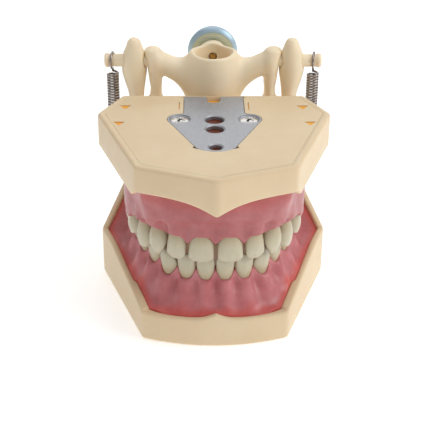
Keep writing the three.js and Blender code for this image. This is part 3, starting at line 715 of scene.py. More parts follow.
def mounting_plate(jaw):
    """Steel plate in the outer face, with chamfered holes and sunk seats for its two screws."""
    seat_radius = 3.6
    holes = [arc((0, y), radius + 0.4, 0, 352, 44) for y, radius in PLATE_HOLES]
    seats = [arc(place, seat_radius, 0, 352, 44) for place in SCREW_PLACES]
    parts = [(*slab([plate_outline(), *holes, *seats], *between(jaw, 0.0, PLATE), 0.16), STEEL)]
    dish = [(1.7, 1.45), (1.7, 1.0), (2.9, 0.95)]
    dish += [(seat_radius + 0.02, 0.35), (seat_radius + 0.05, 1.45), (1.7, 1.45)]
    parts += [(*turned_in(jaw, dish, x, y, 48), STEEL) for x, y in SCREW_PLACES]
    for y, radius in PLATE_HOLES:
        edge = radius + 0.42
        ring = [(edge, 0.02), (radius, 0.4), (radius, 1.5), (edge, 1.5), (edge, 0.02)]
        parts.append((*turned_in(jaw, ring, 0, y, 48), STEEL))
    piece(f"{jaw}_mounting_plate_steel", parts, JAWS[jaw]["body"], [f"{jaw}_mounting_plate"], sharp=20)


def cross_screw(name, centre, axis, towards, head, shank, head_height, length, body, node):
    """A pan-head screw with a cross recess. towards is the way its head faces along the axis."""
    angles = np.arange(72) * 2 * math.pi / 72
    thread_pitch, thread_depth = 0.7, 0.25
    rings, inside = [], []

    def ring(radius, heights):
        rings.append(round_axis(radius, heights * towards, centre, axis, angles))

    for radius in np.concatenate([np.linspace(0.02, 0.94, 26), [0.97, 0.995, 1.0]]) * head:
        x, y = radius * np.cos(angles + 0.4), radius * np.sin(angles + 0.4)
        dome = head_height * (1 - 0.45 * (radius / head) ** 2.4)
        arm, reach = np.minimum(np.abs(x), np.abs(y)), np.maximum(np.abs(x), np.abs(y))
        inside.append((arm < 0.36) & (reach < 0.5 * head))
        deep = 1.25 * (1 - smoothstep(arm, 0.26, 0.46)) * (1 - smoothstep(reach, 0.36 * head, 0.62 * head))
        ring(radius, dome - deep * head_height)
    for radius, height in ((head, 0.1 * head_height), (head * 0.97, 0), (shank + 0.1, 0), (shank, -0.1)):
        ring(radius, height)
    for k in range(int(length / thread_pitch)):
        ring(shank, -0.3 - thread_pitch * k)
        ring(shank - thread_depth, -0.65 - thread_pitch * k)
    ring(0.4, -length)
    points, faces = loft(rings)
    inside = np.concatenate(inside)
    # Faces inside the cross recess take SHADE, painted shade that darkens the recess.
    recess = {f for f in faces if max(f[:3]) < len(inside) and inside[list(f[:3])].all()}
    shades = ((False, SCREW), (True, SHADE))
    parts = [(points, [f for f in faces if (f in recess) == sunk], steel) for sunk, steel in shades]
    piece(name, parts, body, [node], sharp=50, fix_normals=False)


# ---- the articulator ----------------------------------------------------------------------------
def upright(stations):
    """A field for a limb that runs up z: stations are (z, x, y, half width, half depth)."""
    z, x, y, width, depth = zip(*stations)
    at_x, at_y, wide, deep = (curve_through(z, values) for values in (x, y, width, depth))

    def field(px, py, pz):
        w, d = wide(pz), deep(pz)
        flat = np.sqrt(((px - at_x(pz)) / w) ** 2 + ((py - at_y(pz)) / d) ** 2) - 1
        return np.maximum(flat * np.minimum(w, d), np.maximum(z[0] - pz, pz - z[-1]))

    return field


def sideways(stations):
    """A field for a limb that runs along x: stations are (x, y, z, half height, half depth)."""
    turned = upright([(x, z, y, height, depth) for x, y, z, height, depth in stations])
    return lambda px, py, pz: turned(pz, py, px)


def rounded_block(px, py, pz, low, high, radius):
    offsets = [
        np.abs(p - (a + b) / 2) - (b - a) / 2 + radius for p, a, b in zip((px, py, pz), low, high)
    ]
    outside = np.sqrt(sum(np.maximum(o, 0) ** 2 for o in offsets))
    return outside + np.minimum(np.maximum(np.maximum(offsets[0], offsets[1]), offsets[2]), 0) - radius


FRAME_BACK = REAR_Y + 0.3
FRAME_SCREW_X = 21
HUB_BORE = 6.2
INSERT_FRONT = box("thread_insert")[0][1] + 0.8
POST = upright([
    (6, 24.9, FRAME_BACK + 3.4, 4.4, 3.4), (12, 25.4, FRAME_BACK + 3.5, 4.4, 3.4),
    (20, 26.4, FRAME_BACK + 3.8, 3.8, 3.4), (34, 28, AXIS_Y - 2, 3.2, 3), (46, 28.3, AXIS_Y, 2.7, 2.8),
    (56, 27.6, AXIS_Y, 2.5, 2.7), (60, 27.7, AXIS_Y, 2.9, 3.0), (64, 28, AXIS_Y, 3.7, 3.6),
    (68, 28.2, AXIS_Y, 4.45, 4.2), (71.5, 28.25, AXIS_Y, 4.6, 4.3), (74.5, 28.2, AXIS_Y, 4.0, 3.9),
    (77.3, 28.1, AXIS_Y, 2.9, 3.0), (79.3, 28.1, AXIS_Y, 2.1, 2.2), (80.2, 28.1, AXIS_Y, 1.2, 1.3),
    (80.5, 28.1, AXIS_Y, 0.3, 0.35),
])
PEG = sideways([
    (26, AXIS_Y - 1, PEG_Z, 2.5, 2.5), (31, AXIS_Y - 0.4, PEG_Z, 2.1, 2.1), (34.3, AXIS_Y, PEG_Z, 1.95, 1.95),
    (34.9, AXIS_Y, PEG_Z, 1.65, 1.65), (37.0, AXIS_Y, PEG_Z, 1.65, 1.65), (37.5, AXIS_Y, PEG_Z, 2.2, 2.2),
    (38.4, AXIS_Y, PEG_Z, 2.15, 2.15), (38.8, AXIS_Y, PEG_Z, 1.5, 1.5),
])
KNUCKLE = upright([
    (50, 20.9, AXIS_Y - 1.5, 3.9, 4.2), (53, 20.8, AXIS_Y - 1, 3.7, 4.0), (57, 20.7, AXIS_Y, 2.6, 3.6),
    (61, 20.5, AXIS_Y, 2.05, 3.2), (65, 20.6, AXIS_Y, 2.4, 3.4), (69, 20.8, AXIS_Y, 2.6, 3.8),
    (72.5, 21.0, AXIS_Y, 2.75, 4.0), (75, 21.6, AXIS_Y, 2.9, 3.4), (76.5, 21.7, AXIS_Y, 2.2, 2.4),
    (77.2, 21.7, AXIS_Y, 0.8, 0.9),
])
ARM = sideways([
    (0, AXIS_Y, 64.2, 10.0, 4.8), (5, AXIS_Y, 65, 9.2, 4.7), (9, AXIS_Y, 65.8, 7.4, 4.4),
    (13.5, AXIS_Y, 68.4, 4.8, 3.8), (17.5, AXIS_Y, 70.6, 4.3, 3.7), (20.5, AXIS_Y, 72, 4.2, 3.9),
    (22.3, AXIS_Y, 72.2, 3.2, 3.2),
])
HUB_RADIUS = curve_through([51, 53, 60, 66, 69, 73, 75.3], [9.0, 9.3, 9.3, 9.2, 9.0, 8.4, 7.9])


def cylinder_field(a, b, radius):
    return np.sqrt(a**2 + b**2) - radius


def screwed_on(shape, px, y, z, node):
    """The shape with a flat back against the base and sunk seats for the two frame screws."""
    sink = np.maximum(cylinder_field(px - FRAME_SCREW_X, z - middle(node)[2], 2.9), FRAME_BACK + 4 - y)
    return smooth_max(smooth_max(shape, -sink, 0.5), FRAME_BACK - y, 0.4)


def upper_frame_field(x, y, z):
    """Hub with its bore, wings, knuckles and feet, all run into each other."""
    px = np.abs(x)
    from_hub = np.sqrt(x**2 + (y - AXIS_Y) ** 2)
    hub = smooth_max(from_hub - HUB_RADIUS(z), np.maximum(51.2 - z, z - HUB_TOP), 1.0)
    shape = smooth_min(hub, ARM(px, y, z), 3.2)
    boss = np.maximum(cylinder_field(x, z - DISC_Z, 5.3), np.abs(y - AXIS_Y - 7.2) - 2.2)
    shape = smooth_min(smooth_min(shape, boss, 1.2), KNUCKLE(px, y, z), 1.6)
    foot = rounded_block(px, y, z, (17.2, FRAME_BACK, 51), (24.6, AXIS_Y + 2.3, 57.2), 1.2)
    bridge = rounded_block(px, y, z, (-18, FRAME_BACK + 4, 51), (18, AXIS_Y, 55.8), 1.2)
    shape = smooth_min(smooth_min(shape, foot, 2.0), bridge, 1.6)
    flare = smoothstep(z, HUB_TOP - 1.6, HUB_TOP + 0.4) * (1 - smoothstep(y - AXIS_Y, -1, 5))
    bore = from_hub - HUB_BORE - 0.9 * flare
    shape = smooth_max(shape, -bore, 0.5)
    thumb_hole = np.maximum(cylinder_field(x, z - DISC_Z, 1.5), AXIS_Y - y)
    shape = smooth_max(shape, -thumb_hole, 0.3)
    insert = np.maximum(cylinder_field(x, z - DISC_Z, 4.15), INSERT_FRONT - y)
    return screwed_on(np.maximum(shape, -insert), px, y, z, "upper_frame_screw_right")


def lower_frame_field(x, y, z):
    """Two posts with pointed heads, joined by a crossbar, with a spring peg on each."""
    px = np.abs(x)
    shape = smooth_min(POST(px, y, z), PEG(px, y, z), 1.2)
    screw_z = middle("lower_frame_screw_right")[2]
    bar = rounded_block(px, y, z, (-26, FRAME_BACK, screw_z - 5), (26, FRAME_BACK + 4, screw_z + 5), 1.0)
    shape = smooth_min(shape, bar, 2.0)
    pin_bore = cylinder_field(y - AXIS_Y, z - AXIS_Z, 2.5)
    shape = smooth_max(shape, -pin_bore, 0.5)
    return screwed_on(shape, px, y, z, "lower_frame_screw_right")


def frames():
    pitch = 0.5
    for jaw, field in (("upper", upper_frame_field), ("lower", lower_frame_field)):
        low, high = box(f"{jaw}_frame")
        net = surface_net(low - 1.5, high + 1.5, pitch, field)
        piece(f"{jaw}_frame_moulding", [(*net, FRAME_CREAM)], JAWS[jaw]["body"], [f"{jaw}_frame"],
              fix_normals=False)


def hinge_pin(side_name):
    """Axle stub through the post, with a groove for the spring hook and a rounded head."""
    side = SIDES[side_name]
    start = 19.4
    profile = [(0.01, start), (1.9, start), (2.3, start + 0.4), (2.3, SPRING_X - 1.0), (2.15, SPRING_X - 0.6),
               (2.15, SPRING_X + 0.6), (2.3, SPRING_X + 1.0), (2.45, SPRING_X + 1.3), (2.6, PIN_END - 0.9),
               (2.5, PIN_END - 0.4), (2.2, PIN_END - 0.1), (1.6, PIN_END), (0.01, PIN_END)]
    made = lathe([(r, side * x) for r, x in profile], (0, AXIS_Y, AXIS_Z), "x", 56)
    piece(f"hinge_pin_{side_name}_axle", [(*made, FRAME_CREAM)], "upper_jaw", [f"hinge_pin_{side_name}"],
          sharp=40)


def spring(side_name):
    """Close-wound extension spring: a ring hook round the peg, the coil, and one round the pin."""
    side = SIDES[side_name]
    wire, coil_radius, pitch = 0.42, 1.86, 1.06
    upper_hook, lower_hook = 2.3 + 0.1 + wire, 1.65 + 0.1 + wire
    bottom, top = PEG_Z + 5.4, AXIS_Z - 4.9
    turns = round((top - bottom) / pitch)
    ring = [(math.cos(a), math.sin(a)) for a in np.radians(np.arange(264, -61, -12))]
    path = [(0, lower_hook * y, PEG_Z + lower_hook * z) for y, z in ring if z < 0.9]
    path += [(0, 0.3, PEG_Z + lower_hook + 0.5), (0.3, 0.9, bottom - 0.6), (0.9, 1.6, bottom - 0.2)]
    steps = 20
    for k in range(turns * steps + 1):
        angle = math.pi / 3 + 2 * math.pi * k / steps
        path.append((coil_radius * math.cos(angle), coil_radius * math.sin(angle),
                     bottom + (top - bottom) * k / (turns * steps)))
    path += [(0.5, 1.5, top + 0.25), (0.1, 0.7, top + 0.6), (0, 0.2, AXIS_Z - upper_hook - 0.3)]
    for angle in np.radians(np.arange(-90, 231, 12)):
        across = -upper_hook * math.cos(angle)
        path.append((0.16 * across, across, AXIS_Z + upper_hook * math.sin(angle)))
    path = [(side * SPRING_X + x, AXIS_Y + y, z) for x, y, z in path]
    piece(f"spring_{side_name}_wire", [(*sweep(path, wire, 9), WIRE)], "lower_jaw", [f"spring_{side_name}"])


def thumb_screw():
    """Clamp screw: a disc with a turned face and bevelled rim, a threaded shank, its pad and insert."""
    radius, inner = 9.1, 7.6
    rear = box("thumb_screw")[1][1]
    front, tip = DISC_FRONT, box("thumb_screw")[0][1]
    centre = (0, 0, DISC_Z)
    shank = [(0.01, tip), (1.0, tip), (1.15, tip + 0.15), (1.15, tip + 1.2), (2.3, tip + 1.2)]
    for k in range(int(front - tip - 1.2)):
        shank += [(2.7, tip + 1.7 + k), (2.3, tip + 2.2 + k)]
    face = [(2.7, front + 0.02)]
    for k in range(6):
        at = 3.2 + 0.75 * k
        face += [(at, front), (at + 0.5, front), (at + 0.6, front + 0.12), (at + 0.7, front + 0.12)]
    face += [(inner, front)]
    bevel = [(-0.35, 0.95), (-0.1, 1.2), (0, 1.6), (-0.05, 2.2)]
    rim = [(inner, front), (inner + 0.15, front + 0.05)] + [(radius + a, front + b) for a, b in bevel]
    rim += [(radius - 0.7, rear - 0.6), (radius - 1.1, rear - 0.2), (radius - 1.8, rear)]
    rim += [(4, rear), (3.6, rear - 0.3), (0.01, rear - 0.3)]
    profiles = ((shank + [(2.3, front)], ZINC_RIM), (face, ZINC_FACE), (rim, ZINC_RIM))
    parts = [(*lathe(profile, centre, "y", 96, ends=False), material) for profile, material in profiles]
    piece("thumb_screw_disc", parts, "thumb_screw", ["thumb_screw"], sharp=30, fix_normals=False)
    low, high = box("thumb_screw_pad")
    pad = [(0.01, low[1]), (1.0, low[1]), (1.2, low[1] + 0.2)]
    pad += [(1.2, high[1] - 0.1), (1.1, high[1]), (0.01, high[1])]
    piece("thumb_screw_pad_tip", [(*lathe(pad, centre, "y", 48), BRASS)], "clamp_pad", ["thumb_screw_pad"],
          sharp=35)
    low, high = box("thread_insert")
    start = INSERT_FRONT + 0.1
    ring = [(3.0, start + 0.2), (3.2, start), (3.95, start), (4.05, start + 0.1), (4.05, high[1] - 0.1),
            (3.95, high[1]), (3.2, high[1]), (3.0, high[1] - 0.2), (3.0, start + 0.2)]
    piece("thread_insert_sleeve", [(*lathe(ring, centre, "y", 56), BRASS)], "upper_jaw", ["thread_insert"],
          sharp=35)


# ---- dental arches ------------------------------------------------------------------------------
# Crowns from the midline backwards: width, height, depth.
CROWNS = {
    "upper": [(8.45, 9.9, 6.8), (6.8, 9.1, 6), (7.9, 10.2, 7.4), (7.2, 9.2, 8.8), (7, 8.4, 8.8),
              (10.2, 8.0, 10.8), (9.4, 7.6, 10.6), (8.4, 7.2, 10)],
    "lower": [(6.1, 8.8, 5.6), (6.2, 8.9, 5.8), (7.3, 9.2, 7), (7.2, 6.9, 7.6), (7.1, 6.5, 8),
              (10.8, 6.4, 10), (9.8, 6.2, 9.8), (9, 6.0, 9.4)],
}


class Arch:
    """A jaw's line through the middles of its teeth, with places along and across it."""

    def __init__(self, jaw):
        self.jaw, self.up = jaw, JAWS[jaw]["up"]
        self.names = [f"{jaw}_{kind}_left" for kind in reversed(KINDS)] + [f"{jaw}_{kind}_right" for kind in KINDS]
        sizes = CROWNS[jaw][::-1] + CROWNS[jaw]
        self.width, self.height, self.depth = (np.array(v) for v in zip(*sizes))
        centres = np.array([middle(name)[:2] for name in self.names])
        self.edge = np.array([box(name)[1 if self.up > 0 else 0][2] for name in self.names])
        if jaw == "upper":
            shifts = np.array([(0, 0, 0), (0, 0, 0), (0, 0, 0), (0.5, -1.0, -1.7), (1.1, -0.5, -0.6),
                               (0.5, -0.2, -0.2), (0, 0, 0), (0, 0, 0)])
            shifts = np.vstack([shifts[::-1] * (-1, 1, 1), shifts])
            centres += shifts[:, :2]
            self.edge += shifts[:, 2]
        self.neck = self.edge - self.up * self.height
        lengths = np.concatenate([[0], np.cumsum(np.linalg.norm(np.diff(centres, axis=0), axis=1))])
        past = 7.0
        first = centres[0] - (centres[1] - centres[0]) / lengths[1] * past
        last = centres[-1] + (centres[-1] - centres[-2]) / (lengths[-1] - lengths[-2]) * past
        knots = np.concatenate([[-past], lengths, [lengths[-1] + past]])
        line = np.vstack([first, centres, last])
        self.x, self.y = curve_through(knots, line[:, 0]), curve_through(knots, line[:, 1])
        self.at = np.linspace(knots[0], knots[-1], 420)
        self.line = np.column_stack([self.x(self.at), self.y(self.at)])
        run = np.gradient(self.line, axis=0)
        self.run = run / np.linalg.norm(run, axis=1)[:, None]
        self.middles = lengths
        self.half = lengths[-1] / 2
        weighed = lengths[:-1] * self.width[1:] + lengths[1:] * self.width[:-1]
        between_teeth = weighed / (self.width[1:] + self.width[:-1])
        ends = lengths[0] - self.width[0] / 2, lengths[-1] + self.width[-1] / 2
        self.borders = np.concatenate([ends[:1], between_teeth, ends[1:]])
        self.survey()

    def survey(self):
        """Distances along the arch and outwards from it, over a flat grid that place() reads."""
        self.pitch = 0.35
        self.corner = np.array([-HALF_WIDTH - 4, APEX_Y - 4])
        nx, ny = (int(n / self.pitch) for n in (2 * HALF_WIDTH + 8, REAR_Y - APEX_Y + 16))
        flat = self.corner + self.pitch * np.stack(np.meshgrid(np.arange(nx), np.arange(ny), indexing="ij"), -1)
        flat = flat.reshape(-1, 2)
        near = np.concatenate([
            ((part[:, None, :] - self.line[None]) ** 2).sum(2).argmin(1) for part in np.array_split(flat, 16)
        ])
        step, run = flat - self.line[near], self.run[near]
        self.grid_along = (self.at[near] + (step * run).sum(1)).reshape(nx, ny)
        self.grid_out = (step[:, 0] * run[:, 1] - step[:, 1] * run[:, 0]).reshape(nx, ny)

    def place(self, x, y):
        """Distance along the arch and outwards from it."""
        u, v = ((p - c) / self.pitch for p, c in zip((x, y), self.corner))
        i = np.clip(u.astype(int), 0, self.grid_out.shape[0] - 2)
        j = np.clip(v.astype(int), 0, self.grid_out.shape[1] - 2)
        u, v = u - i, v - j
        corners = [(i, j), (i, j + 1), (i + 1, j), (i + 1, j + 1)]
        weights = [(1 - u) * (1 - v), (1 - u) * v, u * (1 - v), u * v]
        along, out = (
            sum(w * grid[c] for w, c in zip(weights, corners)) for grid in (self.grid_along, self.grid_out)
        )
        # Along the middle of the mouth both sides are equally near, and no average of them means anything.
        around = [self.grid_along[c] for c in corners]
        torn = np.maximum.reduce(around) - np.minimum.reduce(around) > 3
        return np.where(torn, around[0], along), out

    def phase_at(self, along):
        """How far a place is from the middle of its tooth, -1 to 1."""
        i = np.clip(np.searchsorted(self.borders, along) - 1, 0, len(self.names) - 1)
        half = (self.borders[i + 1] - self.borders[i]) / 2
        return (along - (self.borders[i + 1] + self.borders[i]) / 2) / half

    def smooth(self, along, values):
        return np.interp(along, self.middles, values)


def outline_distance(x, y, corners, inset):
    """How far outside a convex outline a place is, once the outline is moved inwards; negative inside."""
    corners = np.array(corners, float)
    run = np.roll(corners, -1, axis=0) - corners
    run /= np.linalg.norm(run, axis=1)[:, None]
    worst = np.full(np.shape(x), -1e9)
    for (cx, cy), (rx, ry) in zip(corners, run):
        worst = np.maximum(worst, -(-ry * (x - cx) + rx * (y - cy)) + inset)
    return worst


def gum(jaw):
    """The gum: a ridge with scalloped margins and root bulges that runs down to the base."""
    arch = ARCHES[jaw]
    facts = JAWS[jaw]
    up, floor = facts["up"], behind(jaw, FLOOR)
    cache = {}

    def flat_facts(x, y):
        """What depends on the place in the flat only, kept for a whole grid of heights."""
        if x.shape in cache:
            return cache[x.shape]
        flat_x, flat_y = (x[:, :, 0], y[:, :, 0]) if x.ndim == 3 else (x, y)
        along, out = arch.place(flat_x, flat_y)
        phase = arch.phase_at(along)
        phase = 0.5 - 0.5 * np.cos(math.pi * np.clip(np.abs(phase), 0, 1))
        neck = arch.smooth(along, arch.neck)
        half = arch.smooth(along, arch.depth) / 2
        front = 1 - smoothstep(np.abs(along - arch.half), 20, 30)
        wall = -outline_distance(flat_x, flat_y, facts["corners"], WALL) - FRONT_LIP * lip_share(jaw, flat_y)
        past_end = np.abs(along - arch.half) - (arch.half + arch.width[0] / 2)
        incisors = 1 - smoothstep(np.abs(along - arch.half), 9.5, 17)
        made = [flat_x, flat_y, out, phase, neck, half, front, wall, past_end, incisors]
        if x.ndim == 3:
            made = cache[x.shape] = [m[:, :, None] for m in made]
        return made

    def field(x, y, z):
        px, py, out, phase, neck, half, front, wall, past_end, incisors = flat_facts(x, y)
        above = up * (z - neck)
        papilla = (1.5 + 1.8 * front if jaw == "lower" else 0.6 + 2.6 * incisors) * phase**3
        lip = 0.45 if jaw == "lower" else 1.1 * front - 0.65
        bulge = (1 - phase) * (0.95 if jaw == "lower" else 0.1 + 0.5 * front)
        # Outer face: flutes over the roots, drawn in between the teeth near the margin.
        depth = np.maximum(-above, 0)
        reach = out + wall
        if jaw == "lower":
            spread = 0.16 * depth + 0.035 * depth**2
        else:
            room = reach - half - lip
            spread = 0.04 * front * depth + front * np.minimum(0.8 * room, 3.0) * smoothstep(depth, 3, 13)
            spread = spread + (room + 1 - spread) * smoothstep(depth - 1.2 * front, 12.2, 15.5)
        flute = bulge * smoothstep(depth, -1, 3) * (1 - smoothstep(depth, 6, 13))
        recess = (0.9 + 0.5 * front) * phase**2 * (1 - smoothstep(depth, 1, 6))
        outer_face = out - (half * (0.86 + 0.07 * front) + lip + spread + flute - recess)
        inner_spread = (0.35 if jaw == "lower" else 0.55) * depth
        inner_face = -out - (half * 0.95 + 0.6 + inner_spread - 0.8 * phase**2 * (1 - smoothstep(depth, 0, 4)))
        top = above - papilla
        ridge = smooth_max(smooth_max(outer_face, inner_face, 0.8), top, 1.1)
        ridge = smooth_max(ridge, past_end - 2.5 - 0.2 * depth, 2.0)
        if jaw == "lower":
            rim = tray_rim(px, py)
            low_part = z - (rim - 0.75 - 0.5 * smoothstep(wall, 0, 4) * front)
            trough = np.maximum(low_part, -out)
            shape = smooth_min(ridge, trough, 2.6)
        else:
            vault = 9.4 - 0.012 * px**2 + 1.2 * smoothstep(py, -20, -34)
            rugae = 0.35 * np.sin((py + 0.25 * np.abs(px)) * 1.9) * smoothstep(-py, 14, 20)
            rugae = rugae * smoothstep(np.abs(px), 1.0, 3.0) - 0.25 * np.exp(-(px / 0.9) ** 2)
            palate = np.maximum(up * (z - arch.neck.mean()) + vault + rugae, out - half)
            palate = np.maximum(palate, py - (REAR_Y - 4))
            shape = smooth_min(ridge, palate, 4.0)
        shape = smooth_max(shape, -0.1 - wall, 0.2)
        return np.maximum(shape, up * (floor + up * 0.1 - z))

    margin = 2.0
    low, high = box(f"{jaw}_gum")
    pitch = 0.42
    low, high = low - margin, high + margin
    if up > 0:
        high[2] += 2
    else:
        low[2] -= 2
    points, faces = surface_net(low, high, pitch, field)
    made = piece(f"{jaw}_gum_silicone", [(points, faces, GUM[jaw])], facts["body"], [f"{jaw}_gum"],
                 fix_normals=False)
    x, y, z = points.T
    _, _, out, _, neck, _, _, wall, _, _ = flat_facts(x, y)
    depth = up * (neck - z)
    # Painted shade: redder near the rim and deep in the trough, and a little redder over all of the upper gum.
    if jaw == "lower":
        hollow = np.maximum(0.35 * smoothstep(depth, 8, 12), smoothstep(-wall, -2.4, -0.3)) * (out > 0)
    else:
        hollow = 0.2 + 0.5 * smoothstep(depth, 8.5, 14) * (out > 0)
    point_values(made, "hollow", hollow)


ARCHES = {jaw: Arch(jaw) for jaw in JAWS}


# ---- teeth --------------------------------------------------------------------------------------
def incisor_rings(width, height, depth, jaw, from_front):
    """Rings from below the gum to the biting edge, as (along, out, up) points round each ring."""
    angles = np.arange(44) * 2 * math.pi / 44
    closing = 1 - 0.2 * np.cos(np.linspace(0.25, 1, 11) * math.pi / 2)
    share = np.concatenate([[-0.42, -0.3, -0.18, -0.08], np.linspace(0, 0.8, 13), closing])
    share[-1] = 1.0
    canine = from_front == 2
    lateral = from_front == 1 and jaw == "upper"
    neck_width = 0.86 if lateral else 0.78
    wide = curve_through([-0.45, 0, 0.25, 0.55, 0.8, 1], [0.5, neck_width, 0.93, 1.0, 0.99, 0.93])
    if canine:
        wide = curve_through([-0.45, 0, 0.25, 0.5, 0.7, 1], [0.5, 0.66, 0.85, 0.98, 0.98, 0.7])
    face = curve_through([-0.45, 0, 0.2, 0.5, 0.8, 1], [0.34, 0.42, 0.485, 0.5, 0.44, 0.34])
    tongue = curve_through([-0.45, 0, 0.2, 0.5, 0.8, 1], [0.3, 0.42, 0.4, 0.17, -0.1, -0.16])
    rings = []
    corner_start, power = (0.42, 1.8) if canine else (0.66, 2.1) if lateral else (0.78, 2.2)
    for t in share:
        past = np.clip((t - corner_start) / (1 - corner_start), 0, 1)
        corner = max(1 - past**power, 0) ** (1 / power) if not canine else 1 - 0.55 * past**power
        edge = math.sqrt(max(1 - np.clip((t - 0.95) / 0.05, 0, 1) ** 2, 0))
        half = wide(t) * width / 2 * (0.12 + 0.88 * corner)
        front, back = face(t) * depth, tongue(t) * depth
        centre, thick = (front - back) / 2, (front + back) / 2
        thick = thick * (0.15 + 0.85 * edge)
        u = half * squarish(np.cos(angles), 0.82)
        v = squarish(np.sin(angles), 0.78)
        across = u / max(half, 1e-6)
        bulge = np.where(v > 0, v * (1 - 0.1 * across**2), v)
        out = centre + thick * bulge
        if canine:
            out += 0.35 * np.exp(-((across / 0.35) ** 2)) * (v > 0) * v * smoothstep(t, 0.05, 0.4)
        else:
            grooves = np.exp(-(((np.abs(across) - 0.36) / 0.14) ** 2))
            out -= 0.14 * grooves * (v > 0) * v * smoothstep(t, 0.35, 0.9)
        taper = np.where(v < 0, 1 + 0.3 * v, 1)
        rings.append(np.column_stack([u * taper, out, np.full(44, t * height)]))
    return rings


CUSPS = {
    # (along, out, height below the highest) as shares of half the crown and millimetres
    "premolar_upper": [(0, 0.5, 0.0), (0, -0.48, 0.6)],
    "premolar_lower": [(0, 0.42, 0.0), (0.1, -0.5, 1.2)],
    "molar_upper": [(-0.45, 0.52, 0.0), (0.45, 0.5, 0.25), (-0.38, -0.48, 0.2), (0.5, -0.5, 0.8)],
    "molar_lower": [
        (-0.5, 0.5, 0.1), (0.05, 0.54, 0.15), (0.58, 0.4, 0.5), (-0.45, -0.52, 0.0), (0.4, -0.52, 0.2),
    ],
}


def posterior_rings(width, height, depth, kind):
    """Rings up the side of a premolar or molar and in over its cusps and grooves."""
    angles = np.arange(56) * 2 * math.pi / 56
    molar = kind.startswith("molar")
    half_u, half_v = width / 2, depth / 2
    cusps = CUSPS[kind]
    radius = 2.3 if molar else 2.7

    def occlusal(u, v):
        total = np.zeros_like(u)
        sharp = 5.0
        for cu, cv, drop in cusps:
            away = (u - cu * half_u) ** 2 + (v - cv * half_v) ** 2
            total = total + np.exp(sharp * (-drop - away / (2 * radius)))
        return height + np.maximum(np.log(total + 1e-12) / sharp, -2.6)

    wide = curve_through([-0.5, 0, 0.3, 0.65, 1], [0.62, 0.76, 0.93, 1.0, 0.93])
    deep = curve_through([-0.5, 0, 0.3, 0.65, 1], [0.6, 0.84, 0.97, 1.0, 0.86])
    share = np.concatenate([[-0.5, -0.3, -0.15], np.linspace(0, 0.65, 9), [0.76, 0.86, 0.94, 1.0]])
    taper = 0.14 if molar else 0.26

    def section(t, scale):
        u = squarish(np.cos(angles), 0.72) * half_u * wide(t) * scale
        v = squarish(np.sin(angles), 0.78)
        u = u * (1 + taper * np.minimum(v, 0) * 0.9)
        if molar:
            v = v * (1 - 0.05 * np.exp(-((u / (0.14 * width)) ** 2)) * smoothstep(t, 0.2, 0.8))
        return u, v * half_v * deep(t) * scale

    rings = []
    top_u, top_v = section(1.0, 1.0)
    top_height = occlusal(top_u, top_v)
    for t in share:
        u, v = section(t, 1.0)
        rise = np.clip((t - 0.4) / 0.6, 0, 1)
        rings.append(np.column_stack([u, v, t * height + (top_height - height) * rise**1.6]))
    for scale in (0.94, 0.87, 0.79, 0.7, 0.61, 0.52, 0.43, 0.34, 0.25, 0.16, 0.08):
        u, v = section(1.0, scale)
        rings.append(np.column_stack([u, v, occlusal(u, v)]))
    return rings


def teeth(jaw):
    arch = ARCHES[jaw]
    up = arch.up
    count = len(arch.names)
    for i, name in enumerate(arch.names):
        from_front = i - count // 2 if i >= count // 2 else count // 2 - 1 - i
        side = 1 if i >= count // 2 else -1
        width, height, depth = arch.width[i] - 0.12, arch.height[i], arch.depth[i]
        if from_front < 3:
            rings = incisor_rings(width, height, depth, jaw, from_front)
        else:
            kind = ("premolar_" if from_front < 5 else "molar_") + jaw
            rings = posterior_rings(width, height, depth, kind)
        spot = arch.middles[i]
        centre = np.array([arch.x(spot), arch.y(spot)])
        run = np.array([arch.x(spot + 1.5) - arch.x(spot - 1.5), arch.y(spot + 1.5) - arch.y(spot - 1.5)])
        run /= np.linalg.norm(run)
        out = np.array([run[1], -run[0]])
        placed = []
        for ring in rings:
            flat = centre + np.outer(ring[:, 0] * side, run) + np.outer(ring[:, 1], out)
            placed.append(np.column_stack([flat, arch.neck[i] + up * ring[:, 2]]))
        points, faces = loft(placed)
        made = piece(f"{name}_crown", [(points, faces, ENAMEL)], JAWS[jaw]["body"], [name])
        point_values(made, "crown", np.clip(up * (points[:, 2] - arch.neck[i]) / height, 0, 1))


# ---- assembly -----------------------------------------------------------------------------------
for jaw, facts in JAWS.items():
    base_shell(jaw)
    cover(jaw)
    mounting_plate(jaw)
    gum(jaw)
    teeth(jaw)
    for side_name, side in SIDES.items():
        node = f"{jaw}_plate_screw_{side_name}"
        seat = facts["outer"] + facts["up"] * 0.98
        cross_screw(f"{node}_steel", (side * SCREW_PLACES[0][0], SCREW_PLACES[0][1], seat), "z", -facts["up"],
                    3.0, 1.5, 0.85, 5.2, facts["body"], node)
        node = f"{jaw}_frame_screw_{side_name}"
        low, high = box(node)
        cross_screw(f"{node}_steel", (side * FRAME_SCREW_X, high[1] - 1.6, middle(node)[2]), "y", 1,
                    2.6, 1.4, 1.6, high[1] - 1.6 - low[1], facts["body"], node)
frames()
for side_name in SIDES:
    hinge_pin(side_name)
    spring(side_name)
thumb_screw()

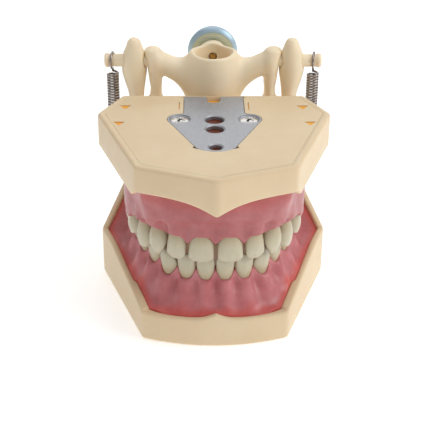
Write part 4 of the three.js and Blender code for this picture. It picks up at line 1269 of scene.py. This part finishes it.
# ---- stage --------------------------------------------------------------------------------------
scene = bpy.context.scene
scene.view_settings.view_transform = "Standard"
camera = place_object("camera", bpy.data.cameras.new("camera"))
scene.camera = camera
CAMERA_DISTANCE = 385
CAMERA_AZIMUTH, CAMERA_ELEVATION, CAMERA_ROLL = (math.radians(v) for v in (-1.4, 29, 0.6))
AIM = (0, -25.85, 37.37)
back = Vector((
    math.sin(CAMERA_AZIMUTH) * math.cos(CAMERA_ELEVATION),
    -math.cos(CAMERA_AZIMUTH) * math.cos(CAMERA_ELEVATION),
    math.sin(CAMERA_ELEVATION),
))
camera.location = (Vector(AIM) + back * CAMERA_DISTANCE) * MM
camera.rotation_mode = "QUATERNION"
look = (-back).to_track_quat("-Z", "Y")
camera.rotation_quaternion = look @ Quaternion((0, 0, 1), CAMERA_ROLL)
camera.data.sensor_width = 36
camera.data.lens = 96.7
camera.data.clip_start, camera.data.clip_end = 0.01, 10

REACH = 3.0
WHITE = (1, 1, 1, 1)
AMBIENT = 0.42
floor_mesh = bpy.data.meshes.new("floor")
floor_corners = [(REACH * x, REACH * y, 0) for x, y in ((-1, -1), (1, -1), (1, 1), (-1, 1))]
floor_mesh.from_pydata(floor_corners, [], [(0, 1, 2, 3)])
floor = place_object("floor", floor_mesh)
floor_material, floor_shader = principled(
    "pale_floor", Roughness=0.7, Emission_Color=WHITE, Emission_Strength=AMBIENT,
)
tone = ramp(floor_material, noise(floor_material, 3), [(0.3, (0.9, 0.9, 0.9, 1)), (0.7, (0.93, 0.93, 0.93, 1))])
link(floor_material, tone, "Color", floor_shader, "Base Color")
floor_mesh.materials.append(floor_material)

world = bpy.data.worlds.new("studio")
scene.world = world
world.use_nodes = True
background = world.node_tree.nodes["Background"]
background.inputs["Color"].default_value = WHITE
background.inputs["Strength"].default_value = AMBIENT


def softbox(name, place, target, size, power):
    lamp = bpy.data.lights.new(name, "AREA")
    lamp.shape = "RECTANGLE"
    lamp.size, lamp.size_y = size
    lamp.energy = power
    holder = place_object(name, lamp)
    holder.location = place
    holder.rotation_mode = "QUATERNION"
    holder.rotation_quaternion = (Vector(target) - Vector(place)).to_track_quat("-Z", "Y")


softbox("key", (0.76, -0.2, 0.6), (0, 0, 0.03), (0.5, 0.5), 3.2)
softbox("top", (0.0, 0.15, 0.9), (0, 0, 0.03), (0.7, 0.7), 2.3)
softbox("rear", (0.0, 1.0, 0.62), (0, 0, 0.05), (1.0, 0.5), 1.6)
